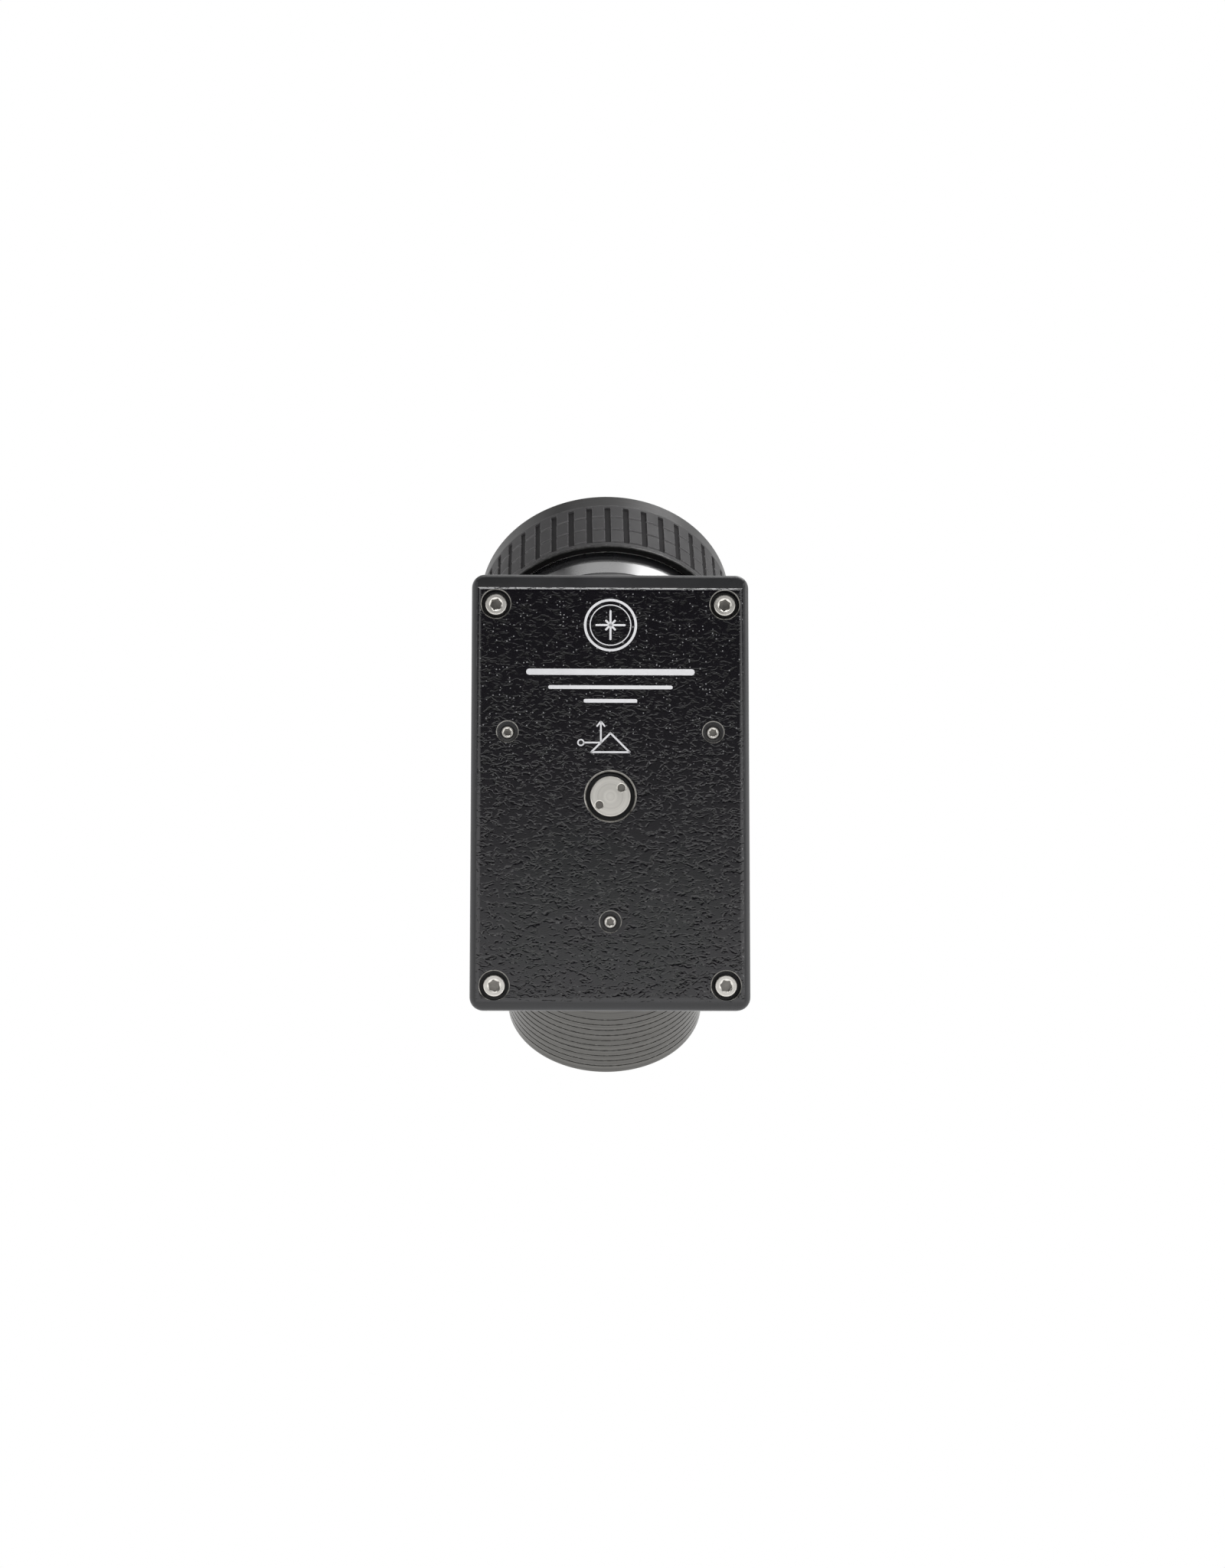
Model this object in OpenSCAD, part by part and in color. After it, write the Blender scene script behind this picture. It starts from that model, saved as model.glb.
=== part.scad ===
// Adjustable star diagonal: a right-angle prism on a three-point tilting
// carrier, a grooved push-fit nosepiece and a quarter-lock eyepiece clamp.
// Millimetres. Origin: centre of the nosepiece shoulder plane.
// +Y runs out along the nosepiece, +Z out along the eyepiece socket.

/* [Nosepiece] */
// Outside diameter of the push-fit tube
nose_d = 50.8; // [40:0.1:62]
// Length of the tube in front of its shoulder
nose_len = 37.6; // [28:0.1:50]
// Wall of the tube between its bore and its outside
nose_wall = 2.4; // [1.8:0.1:4]
// Number of safety grooves round the tube
groove_count = 10; // [0:1:14]
// Spacing of the safety grooves
groove_pitch = 1.818; // [1.2:0.01:2.4]
// Distance of the last groove from the end of the tube
groove_first = 2.48; // [1:0.01:4]
// Depth of the safety grooves
groove_depth = 0.25; // [0.1:0.05:0.5]
// Width of the safety grooves
groove_w = 0.45; // [0.2:0.05:0.8]
// Depth of the filter thread in the end of the tube
filter_depth = 5.5; // [3:0.1:8]

/* [Housing] */
// Prism face to the nosepiece's shoulder plane
port_wall = 16.5; // [16:0.1:24]
// Housing and cover wider than the tube, each side
side_margin = 8.05; // [7:0.05:12]
// Cover longer than the prism, each end
end_margin = 19.27; // [17:0.1:28]
// Middle of the cover below the crossing of the axes
plate_mid = 5; // [3:0.1:8]
// Thickness of the cover
plate_t = 6; // [5:0.1:9]
// Radius of the cover's four outer corners
plate_r = 3.2; // [1:0.1:6]
// Bevel at the cover's upper end
bevel_top = 3.3; // [1:0.1:5]
// Bevel at the cover's lower end
bevel_low = 2.1; // [1:0.1:5]
// Bevel along the cover's two sides
bevel_side = 1.5; // [0.5:0.1:4]
// Sheet gasket under the cover
gasket_t = 0.5; // [0.3:0.1:1]
// Flange on the nosepiece
flange_t = 2; // [1.5:0.1:4]
// Height of the round boss under the eyepiece socket
boss_h = 5.5; // [4:0.1:8]

/* [Prism and carrier] */
// Prism leg shorter than the tube diameter
prism_less = 3.8; // [2:0.1:8]
// Prism width shorter than the tube diameter
prism_side_less = 4.8; // [3:0.1:10]
// Thickness of the tilting carrier plate
carrier_t = 4; // [3:0.1:6]
// Gap that the carrier tilts in, under the cover
tilt_gap = 1; // [0.8:0.1:2]
// Thickness of the cork seat between carrier and prism
seat_t = 1; // [1:0.1:2]
// Distance of the two upper adjusting screws above the cover's middle
adj_up = 14.1; // [10:0.1:18]
// Lower adjusting screw short of the prism's end
adj_short = 1.83; // [0:0.1:4]
// Distance of the pull screw below the cover's middle
pull_low = 1.4; // [0:0.1:4]

/* [Eyepiece clamp] */
// Bore of the socket wider than the tube diameter
socket_more = 0.2; // [0.1:0.05:0.4]
// Shoulder distance to the near end of the clamp ring
neck_h = 10.4; // [9:0.1:14]
// Length of the clamp ring
ring_len = 23.8; // [23:0.1:32]
// Clamp ring's outside beyond the tube's radius
ring_wall = 7.7; // [7.4:0.1:11]
// Height of the plain band at the ring's far end
band_h = 5; // [3:0.1:8]
// Number of raised pads round the grip
pad_count = 44; // [24:1:60]
// Width of the grooves between the pads
pad_gap = 1.6; // [0.8:0.1:2.4]
// Depth of the grooves between the pads
pad_depth = 0.45; // [0.2:0.05:0.8]
// Travel of each clamping jaw
jaw_travel = 0.6; // [0.3:0.05:1]
// Turn of the clamp ring between open and shut
ring_turn = 30; // [20:1:40]

/* [Hidden] */
$fn = 96;

root2 = sqrt(2);
far = 200;                       // longer than any part, for cutters
eps = 0.5;                       // overshoot of a cutter past a face
bed_gap = 0.05;                  // radial gap of parts fixed in a bore
run_gap = 0.05;                  // radial gap of parts that turn in a bore
turn_gap = 0.3;                  // gap between other moving faces
tiny = 0.02;                     // gap between faces that touch in use
edge_c = 0.4;                    // small edge chamfer

nose_r = nose_d / 2;
prism_leg = nose_d - prism_less;
prism_half = prism_leg / root2;
axis_back = prism_leg / 2 + port_wall;   // shoulder plane to the crossing
plate_h = 2 * prism_half + 2 * end_margin;
plate_front = plate_t + tilt_gap + carrier_t + seat_t;
adj_low = prism_half - adj_short;
ring_near = axis_back + neck_h;          // heights above the nosepiece axis
ring_end = ring_near + ring_len;
bore_r = nose_r - nose_wall;
filter_r = bore_r + 0.6;
spigot_r = nose_r + 1.6;
spigot_len = 8;                          // nosepiece spigot inside its port
flange_r = nose_r + 4.1;
port_face = axis_back - flange_t;        // housing face behind the nosepiece
top_face = port_face - 2;                // housing face under the boss
boss_r = spigot_r + 4;
boss_top = top_face + boss_h;
plate_w = nose_d + 2 * side_margin;
gasket_top = plate_front - plate_t;      // inner face of the cover
mate = gasket_top - gasket_t;            // housing face under the gasket
mid_v = -plate_mid;
core_wall = 12;                          // wall behind each port
core_face = port_face - core_wall;       // inner face of the port walls
nook_c = 6;                              // chamfer between the two ports
tap_depth = 6;                           // cover screw holes in the housing
grub_in = 4;                             // nosepiece grub screws below the port
port_grub_in = 2.8;                      // socket grub screws below the boss top
baffle_at = axis_back + 6;
baffle_h = 3;
baffle_lip = 2;
baffle_t = 0.8;

// cover screws
m3_r = 1.5;
m3_head_r = 2.75;
m3_head_h = 3;
m3_hex = 2.5;
head_sink = 0.6;
bore_cap_r = 3.5;
corner_u = plate_w / 2 - 5.85;
corner_top = plate_h / 2 - 7.4;
corner_low = plate_h / 2 - 5.9;
cap_floor = plate_front - head_sink - m3_head_h;
cap_len = cap_floor - mate + tap_depth - 1;

// carrier and prism stack, measured along the cover's normal
carrier_out = gasket_top - tilt_gap;
carrier_in = carrier_out - carrier_t;
prism_w = nose_d - prism_side_less;
prism_tip = 1;
pad_t = 0.6;                             // cork discs between prism and cheeks
pad_r = 3;
pad_n = -10;
seat_in = 1;                             // cork seat: inset, end and rim width
seat_end = 2;
seat_w = 4;
cheek_t = 2;
cheek_u = prism_w / 2 + pad_t;
cheek_half = prism_half - 3;
cheek_rim = 0.5;
cheek_nose = 3;
cheek_hole_v = 13;
cheek_hole_n = -6;
cheek_hole_r = 4;
cheek_screw_len = 5.5;
adj_u = plate_w / 2 - 8.75;
adj_v = mid_v + adj_up;
adj_v3 = mid_v - adj_low;
ADJ = [[adj_u, adj_v], [-adj_u, adj_v], [0, adj_v3]];
pull_v = mid_v - pull_low;
ear_r = 3.5;
pocket_gap = 0.8;                        // carrier's travel room above its ledge
pocket_u = adj_u + ear_r + 0.4;
pocket_top = prism_half + 3.2;
pocket_low = adj_v3 - ear_r - 4;
carrier_top = prism_half + 0.8;
carrier_low = adj_v3 + 1;
hard_r = 2.6;
hard_t = 1.2;
cheek_tabs = [-15, 22];
tab_half = 4;
tab_n = carrier_in + carrier_t / 2;
m2_r = 1;
m2_head_r = 1.8;
m2_head_h = 1.2;

// adjusting screws
adj_r = 1.55;
adj_hole_r = adj_r + run_gap;
adj_top = plate_front - 1;
adj_end = gasket_top + 1.5;
adj_cone_r = 2.5;
adj_cone_d = 1.3;
tip_r = 1.2;
tip_c = carrier_out + tiny + tip_r;
stem_r = 0.8;
stem_len = 1.95;
hex_small = 1.6;
hex_tiny = 1.3;

// pull screw and its springs
pull_r = 2;
pull_head_r = 4.9;
pull_head_t = 2;
pull_top = plate_front - 0.4;
pull_well_r = 5.9;
pull_hole_r = 3.3;
spring_r = 4.4;
spring_t = 0.5;
spring_gap = 0.22;
washer_t = 0.35;
washer_gap = 0.35;
pull_floor = pull_top - pull_head_t - tiny - washer_t - washer_gap
  - 2 * (spring_t + spring_gap);         // floor of the well in the cover
spanner_r = 0.95;
spanner_pitch = 3.35;
spanner_turn = 38;

// eyepiece socket and clamp
socket_r = nose_r + socket_more / 2;
ledge_z = top_face - 2;
base_low = core_face + 2;
field_r = socket_r - 2;
neck_r = boss_r;
step_z = ring_near + 1.3;
step_r = boss_r - 0.3;
neck_top = step_z - 5;
neck_c = 0.5;
tube_r = socket_r + 2.5;
land_r = tube_r + run_gap;
free_r = tube_r + turn_gap;
tube_top = ring_end - 0.6;
thread_z = ring_end - 3.9;
thread_r = tube_r - 0.8;
keeper_t = 2.6;                          // retaining ring and its spanner notches
notch_w = 1.8;
glide_t = 0.4;
glide_w = 2.5;
land_top = step_z + glide_t + 2.2;       // top of the ring's running land
ring_r = nose_r + ring_wall;
under_r = ring_r - 1.2;
lip_r = boss_r + 0.5;
well_z = thread_z - 0.1;
well_r = under_r - 0.9;
grip_near = ring_near + 0.8;
grip_far = ring_end - band_h;
grip_r = ring_r + 0.05;
row_pitch = 5.65;
row_z = [for (i = [1 : 3]) grip_far - i * row_pitch];
row_gap = 0.6;
jaw_low = ring_near + 5.1;
jaw_h = 11.4;
jaw_w = 16.8;
jaw_side = 0.2;
jaw_in = socket_r + 0.1;
jaw_out = tube_r - 0.1;
pin_r = 1.2;
cam_gap = 0.15;
cam_open = jaw_out + pin_r + cam_gap + 0.1;
pin_c = cam_open - cam_gap - pin_r;
cam_e = jaw_travel / 2 / sin(ring_turn / 2);
cam_r = cam_open - jaw_travel / 2;
cam_angle = 90 - ring_turn / 2;
cam_slack = 7;                           // extra turn at each end of a cam pocket
cam_play = 0.6;
JAW_AT = [90, 210, 330];
stop_r = 0.8;
stop_c = tube_r + 1.35;
stop_gap = 0.3;
stop_len = 3;
stop_sink = 1.5;
slot_h = 2;
grub_r = 1.5;
port_grub_r = 1.2;

// colours
c_body = [0.05, 0.05, 0.055];
c_satin = [0.2, 0.2, 0.21];
c_steel = [0.75, 0.74, 0.72];
c_brass = [0.78, 0.62, 0.32];
c_rubber = [0.09, 0.09, 0.095];
c_glass = [0.75, 0.85, 0.9, 0.5];
c_spring = [0.6, 0.6, 0.62];
c_cork = [0.55, 0.4, 0.26];

// frames: the crossing of the axes, the nose axis and the cover
module crossing() { translate([0, -axis_back, 0]) children(); }
module nose_axis() { crossing() rotate([-90, 0, 0]) children(); }
module cover_axis() { crossing() rotate([135, 0, 0]) children(); }
// a side profile, drawn as (back-to-front, up), made w wide across X
module side(w) {
  crossing() rotate([90, 0, 90]) linear_extrude(w, center = true) children();
}
module round_rect(w, h, r) {
  square([w - 2 * r, h], center = true);
  square([w, h - 2 * r], center = true);
  for (x = [-1, 1], y = [-1, 1])
    translate([x * (w / 2 - r), y * (h / 2 - r)]) circle(r);
}
module corners() {
  for (x = [-1, 1]) {
    translate([x * corner_u, mid_v + corner_top, 0]) children();
    translate([x * corner_u, mid_v - corner_low, 0]) children();
  }
}
module hex(af, h) { cylinder(h = h, r = af / 2 / cos(30), $fn = 6); }
module tube(ro, ri, h) {
  difference() {
    cylinder(h = h, r = ro);
    translate([0, 0, -eps]) cylinder(h = h + 2 * eps, r = ri);
  }
}
// headless screw along +Z with its hex socket at z = h
module grub(r, h, af) {
  difference() {
    rotate_extrude() polygon([[0, 0], [r - edge_c, 0], [r, edge_c],
      [r, h - edge_c / 2], [r - edge_c / 2, h], [0, h]]);
    translate([0, 0, h - r]) hex(af, r + eps);
  }
}
module across(x, z) { translate([x, 0, z]) rotate([0, 90, 0]) children(); }

module housing() color(c_body) difference() {
  union() {
    intersection() {
      side(plate_w + 1) polygon([[port_face, -root2 * mate - port_face],
        [port_face, top_face - nook_c], [port_face - nook_c, top_face],
        [-root2 * mate - top_face, top_face]]);
      cover_axis() translate([0, mid_v, mate - far / 2]) linear_extrude(far / 2)
        round_rect(plate_w, plate_h, plate_r);
    }
    crossing() translate([0, 0, core_face + 2 * flange_t])
      cylinder(h = boss_top - core_face - 2 * flange_t, r = boss_r);
  }
  intersection() {
    side(2 * pocket_u) polygon([[core_face, core_face],
      [core_face, -core_face - far / 10], [-core_face - far / 10, core_face]]);
    cover_axis() translate([-pocket_u, pocket_low, -far / 2])
      cube([2 * pocket_u, pocket_top - pocket_low, far / 2 + mate + eps]);
  }
  cover_axis() translate([-pocket_u, pocket_low, carrier_in - pocket_gap])
    cube([2 * pocket_u, pocket_top - pocket_low, mate - carrier_in + pocket_gap + eps]);
  nose_axis() cylinder(h = port_face + eps, r = spigot_r + bed_gap);
  crossing() cylinder(h = boss_top + eps, r = spigot_r + bed_gap);
  cover_axis() corners() translate([0, 0, mate - tap_depth])
    cylinder(h = tap_depth + eps, r = m3_r + bed_gap);
  nose_axis() across(-far / 2, port_face - grub_in) cylinder(h = far, r = grub_r + bed_gap);
  crossing() across(-far / 2, boss_top - port_grub_in)
    cylinder(h = far, r = port_grub_r + bed_gap);
}

module cover_gasket() color(c_rubber) cover_axis() translate([0, 0, mate])
  linear_extrude(gasket_t) difference() {
    translate([0, mid_v]) round_rect(plate_w - 0.4, plate_h - 0.4, plate_r - 0.2);
    translate([-pocket_u, pocket_low])
      square([2 * pocket_u, pocket_top - pocket_low]);
    corners() circle(m3_r + 0.2);
  }

module cover_plate() color(c_body) cover_axis() difference() {
  translate([0, mid_v, 0]) intersection() {
    translate([0, 0, gasket_top]) linear_extrude(plate_t)
      round_rect(plate_w, plate_h, plate_r);
    rotate([90, 0, 0]) linear_extrude(plate_h + 1, center = true)
      bevelled(plate_w / 2, bevel_side, bevel_side);
    rotate([90, 0, 90]) linear_extrude(plate_w + 1, center = true)
      bevelled(plate_h / 2, bevel_low, bevel_top);
  }
  corners() {
    translate([0, 0, gasket_top - eps]) cylinder(h = plate_t, r = m3_r + 0.2);
    translate([0, 0, cap_floor]) cylinder(h = plate_t, r = bore_cap_r);
  }
  for (p = ADJ) translate([p[0], p[1], 0]) {
    translate([0, 0, gasket_top - eps]) cylinder(h = plate_t + 1, r = adj_hole_r);
    translate([0, 0, plate_front - adj_cone_d]) rotate_extrude() polygon([[0, 0],
      [adj_hole_r, 0], [adj_cone_r, adj_cone_d], [adj_cone_r, 2 * adj_cone_d],
      [0, 2 * adj_cone_d]]);
  }
  translate([0, pull_v, 0]) {
    translate([0, 0, gasket_top - eps]) cylinder(h = plate_t, r = pull_hole_r);
    translate([0, 0, pull_floor]) rotate_extrude() polygon([[0, 0],
      [pull_well_r, 0], [pull_well_r, plate_front - pull_floor - edge_c],
      [pull_well_r + edge_c, plate_front - pull_floor],
      [pull_well_r + edge_c, plate_t], [0, plate_t]]);
  }
}
// half-width w with bevel a on the low side and b on the high side
module bevelled(w, a, b) {
  lip = 0.8;
  drop = 0.5;
  polygon([[-w, gasket_top], [w, gasket_top], [w, plate_front - drop - lip],
    [w - lip, plate_front - drop], [w - b, plate_front], [a - w, plate_front],
    [lip - w, plate_front - drop], [-w, plate_front - drop - lip]]);
}

module cap_screw(r, len, hr, hh, af) {
  difference() {
    rotate_extrude() polygon([[0, -len], [r - edge_c, -len], [r, edge_c - len],
      [r, 0], [hr, 0], [hr, hh - edge_c], [hr - edge_c, hh], [0, hh]]);
    translate([0, 0, hh / 2]) hex(af, hh);
    translate([0, 0, hh - af / 8]) rotate_extrude() polygon([[0, 0],
      [af / 2, 0], [af / 2 + af / 8, af / 8], [af / 2 + af / 8, hh], [0, hh]]);
  }
}
module cover_screws() color(c_steel) cover_axis() corners()
  translate([0, 0, cap_floor]) cap_screw(m3_r, cap_len, m3_head_r, m3_head_h, m3_hex);

module nosepiece() color(c_satin) nose_axis() difference() {
  rotate_extrude() polygon([[bore_r, port_face - spigot_len], [spigot_r, port_face - spigot_len],
    [spigot_r, port_face], [flange_r - edge_c, port_face],
    [flange_r, port_face + edge_c], [flange_r, axis_back - edge_c],
    [flange_r - edge_c, axis_back], [nose_r, axis_back],
    [nose_r, axis_back + nose_len - edge_c],
    [nose_r - edge_c, axis_back + nose_len],
    [filter_r + edge_c, axis_back + nose_len],
    [filter_r, axis_back + nose_len - edge_c],
    [filter_r, axis_back + nose_len - filter_depth],
    [bore_r, axis_back + nose_len - filter_depth]]);
  for (i = [0 : 1 : groove_count - 1])
    translate([0, 0, axis_back + nose_len - groove_first - i * groove_pitch - groove_w / 2])
      tube(nose_r + eps, nose_r - groove_depth, groove_w);
}
module nose_grubs() color(c_steel) nose_axis() for (s = [0, 180]) rotate([0, 0, s])
  across(spigot_r, port_face - grub_in) grub(grub_r, plate_w / 2 - spigot_r - 1, hex_small);
module nose_baffle() color(c_body) nose_axis() translate([0, 0, baffle_at])
  rotate_extrude() polygon([[bore_r - baffle_lip, baffle_t / 2],
    [bore_r - baffle_lip + baffle_t / 2, 0], [bore_r, 0], [bore_r, baffle_h],
    [bore_r - baffle_t, baffle_h], [bore_r - baffle_t, baffle_t * 1.5],
    [bore_r - baffle_lip, baffle_t * 1.5]]);

module socket_base() color(c_body) crossing() difference() {
  rotate_extrude() polygon([[field_r, base_low], [spigot_r, base_low],
    [spigot_r, boss_top], [neck_r - edge_c, boss_top], [neck_r, boss_top + edge_c],
    [neck_r, neck_top], [step_r, neck_top + neck_c], [step_r, step_z - edge_c],
    [step_r - edge_c, step_z], [tube_r, step_z], [tube_r, thread_z],
    [thread_r, thread_z], [thread_r, tube_top - edge_c / 2],
    [thread_r - edge_c / 2, tube_top], [socket_r + 2 * edge_c, tube_top],
    [socket_r, tube_top - 2 * edge_c], [socket_r, ledge_z], [field_r, ledge_z]]);
  for (a = JAW_AT) rotate([0, 0, a])
    translate([field_r, -jaw_w / 2 - jaw_side, jaw_low - jaw_side])
      cube([far, jaw_w + 2 * jaw_side, jaw_h + 2 * jaw_side]);
  rotate([0, 0, 180]) translate([stop_c, 0, step_z - stop_sink])
    cylinder(h = stop_len, r = stop_r);
}
module port_grubs() color(c_steel) crossing() for (s = [0, 180]) rotate([0, 0, s])
  across(spigot_r, boss_top - port_grub_in) grub(port_grub_r, boss_r - spigot_r - 0.4, hex_tiny);
module glide_ring() color(c_spring) crossing() difference() {
  translate([0, 0, step_z]) tube(tube_r + glide_w, tube_r + bed_gap, glide_t);
  rotate([0, 0, 180]) translate([stop_c, 0, step_z - eps])
    cylinder(h = glide_t + 2 * eps, r = stop_r + bed_gap);
}
module stop_pin() color(c_steel) crossing() rotate([0, 0, 180])
  translate([stop_c, 0, step_z - stop_sink])
    cylinder(h = stop_len, r = stop_r);
module retaining_ring() color(c_body) crossing() difference() {
  translate([0, 0, thread_z]) rotate_extrude() polygon([[thread_r + bed_gap, 0],
    [well_r - turn_gap, 0], [well_r - turn_gap, keeper_t - edge_c],
    [well_r - turn_gap - edge_c, keeper_t], [thread_r + bed_gap, keeper_t]]);
  for (a = [0, 180]) rotate([0, 0, a])
    translate([field_r, -notch_w / 2, thread_z + keeper_t / 2])
      cube([far, notch_w, keeper_t]);
}

module clamp_ring() color(c_satin) crossing() difference() {
  rotate_extrude() polygon([[lip_r, ring_near], [ring_r - edge_c / 2, ring_near],
    [ring_r, ring_near + edge_c / 2], [ring_r, grip_near], [under_r, grip_near],
    [under_r, grip_far], [ring_r, grip_far], [ring_r, ring_end - 2 * edge_c],
    [ring_r - 2 * edge_c, ring_end], [well_r + edge_c, ring_end],
    [well_r, ring_end - edge_c], [well_r, well_z], [free_r, well_z],
    [free_r, land_top], [land_r, land_top],
    [land_r, step_z + glide_t + tiny], [lip_r, step_z + glide_t + tiny]]);
  for (a = JAW_AT) intersection() {
    rotate([0, 0, a + cam_angle]) translate([cam_e, 0, jaw_low - cam_play])
      cylinder(h = jaw_h + 2 * cam_play, r = cam_r);
    rotate([0, 0, a]) linear_extrude(far) polygon([[0, 0],
      [far * cos(cam_slack), far * sin(cam_slack)],
      [far * cos(ring_turn + cam_slack), -far * sin(ring_turn + cam_slack)]]);
  }
  stop_slot();
}
// arc slot in the ring's near shoulder that the stop pin runs in
module stop_slot() {
  w = stop_r + stop_gap;
  slack = asin(stop_gap / stop_c);
  translate([0, 0, step_z]) intersection() {
    tube(stop_c + w, stop_c - w, slot_h);
    rotate([0, 0, 180]) linear_extrude(far) polygon([[0, 0],
      [far * cos(slack), far * sin(slack)],
      [far * cos(ring_turn + slack), -far * sin(ring_turn + slack)]]);
  }
  for (t = [0, -ring_turn]) rotate([0, 0, 180 + t])
    translate([stop_c, 0, step_z]) cylinder(h = slot_h, r = w);
}
module rubber_grip() color(c_rubber) crossing() difference() {
  translate([0, 0, grip_near]) tube(grip_r, under_r, grip_far - grip_near);
  for (i = [0 : 1 : pad_count - 1]) rotate([0, 0, i * 360 / pad_count])
    translate([grip_r - pad_depth, -pad_gap / 2, row_z[2] - row_gap])
      cube([far, pad_gap, grip_far - row_z[2] - row_gap / 2]);
  for (z = row_z) translate([0, 0, z])
    tube(grip_r + eps, grip_r - pad_depth, row_gap);
}

module jaw(a) color(c_brass) crossing() rotate([0, 0, a]) difference() {
  intersection() {
    translate([0, 0, jaw_low]) tube(jaw_out, jaw_in, jaw_h);
    translate([0, -jaw_w / 2, jaw_low]) cube([far, jaw_w, jaw_h]);
  }
  translate([pin_c, 0, jaw_low - eps]) cylinder(h = jaw_h + 2 * eps, r = pin_r);
}
module jaw_pin(a) color(c_steel) crossing() rotate([0, 0, a])
  translate([pin_c, 0, jaw_low + 0.2]) cylinder(h = jaw_h - 0.4, r = pin_r);
module jaw_1() jaw(JAW_AT[0]);
module jaw_2() jaw(JAW_AT[1]);
module jaw_3() jaw(JAW_AT[2]);
module jaw_pin_1() jaw_pin(JAW_AT[0]);
module jaw_pin_2() jaw_pin(JAW_AT[1]);
module jaw_pin_3() jaw_pin(JAW_AT[2]);

module adj_tip(i) color(c_brass) cover_axis() translate([ADJ[i][0], ADJ[i][1], tip_c]) {
  sphere(tip_r);
  cylinder(h = stem_len, r = stem_r);
}
module adj_screw(i) color(c_steel) cover_axis() translate([ADJ[i][0], ADJ[i][1], 0])
  difference() {
    translate([0, 0, adj_end]) grub(adj_r, adj_top - adj_end, hex_small);
    translate([0, 0, adj_end - eps])
      cylinder(h = tip_c + stem_len + 0.1 - adj_end + eps, r = stem_r + run_gap);
  }
module adj_tip_1() adj_tip(0);
module adj_tip_2() adj_tip(1);
module adj_tip_3() adj_tip(2);
module adj_screw_1() adj_screw(0);
module adj_screw_2() adj_screw(1);
module adj_screw_3() adj_screw(2);

// cone-shaped spring disc, its outer rim down, standing on height n
module disc_spring(n, up) color(c_spring) cover_axis() translate([0, pull_v, n])
  rotate_extrude() polygon(up
    ? [[pull_r + turn_gap, 0], [spring_r, 0.2], [spring_r, spring_t],
       [pull_r + turn_gap, 0.3]]
    : [[pull_r + turn_gap, 0.2], [spring_r, 0], [spring_r, 0.3],
       [pull_r + turn_gap, spring_t]]);
module spring_lower() disc_spring(pull_floor + spring_gap, false);
module spring_upper() disc_spring(pull_floor + 2 * spring_gap + spring_t, true);
module thrust_washer() color(c_steel) cover_axis()
  translate([0, pull_v, pull_top - pull_head_t - tiny - washer_t])
    tube(spring_r, pull_r + turn_gap, washer_t);
module pull_screw() color(c_steel) cover_axis() translate([0, pull_v, 0]) difference() {
  rotate_extrude() polygon([[0, carrier_in + 0.6], [pull_r - edge_c, carrier_in + 0.6],
    [pull_r, carrier_in + 1], [pull_r, pull_top - pull_head_t],
    [pull_head_r, pull_top - pull_head_t], [pull_head_r, pull_top - edge_c / 2],
    [pull_head_r - edge_c / 2, pull_top], [0, pull_top]]);
  for (s = [0, 180]) rotate([0, 0, spanner_turn + s])
    translate([spanner_pitch, 0, pull_top - 1.3]) cylinder(h = 2, r = spanner_r);
}

module prism_carrier() color(c_satin) cover_axis() difference() {
  translate([0, 0, carrier_in]) linear_extrude(carrier_t) {
    translate([-cheek_u, carrier_low])
      square([2 * cheek_u, carrier_top - carrier_low]);
    for (s = [-1, 1]) translate([s * adj_u, adj_v]) circle(ear_r);
    for (s = [-1, 1]) translate([s * adj_u - ear_r + (s > 0 ? -2 : 2), adj_v - ear_r])
      square([2 * ear_r, 2 * ear_r]);
    translate([0, adj_v3]) circle(ear_r);
    translate([-ear_r, adj_v3]) square([2 * ear_r, 2 * ear_r]);
  }
  for (p = ADJ) translate([p[0], p[1], carrier_out - hard_t])
    cylinder(h = hard_t + eps, r = hard_r);
  translate([0, pull_v, carrier_in - eps])
    cylinder(h = carrier_t + 2 * eps, r = pull_r + run_gap);
  for (s = [0, 180], v = cheek_tabs) rotate([0, 0, s]) translate([0, s > 0 ? -v : v, 0])
    across(cheek_u - cheek_screw_len, tab_n)
      cylinder(h = cheek_screw_len + eps, r = m2_r + bed_gap);
}
module contact_pads() color(c_steel) cover_axis() for (p = ADJ)
  translate([p[0], p[1], carrier_out - hard_t]) cylinder(h = hard_t, r = hard_r);
module prism_gasket() color(c_cork) cover_axis() linear_extrude(carrier_in)
  difference() {
    square([prism_w - seat_in, 2 * (prism_half - seat_end)], center = true);
    square([prism_w - seat_in - 2 * seat_w, 2 * (prism_half - seat_end - seat_w)],
      center = true);
  }
module prism() color(c_glass) cover_axis() rotate([90, 0, 90])
  linear_extrude(prism_w, center = true) polygon([
    [prism_tip - prism_half, 0], [prism_half - prism_tip, 0],
    [prism_half - prism_tip, -prism_tip], [prism_tip, prism_tip - prism_half],
    [-prism_tip, prism_tip - prism_half], [prism_tip - prism_half, -prism_tip]]);
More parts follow.
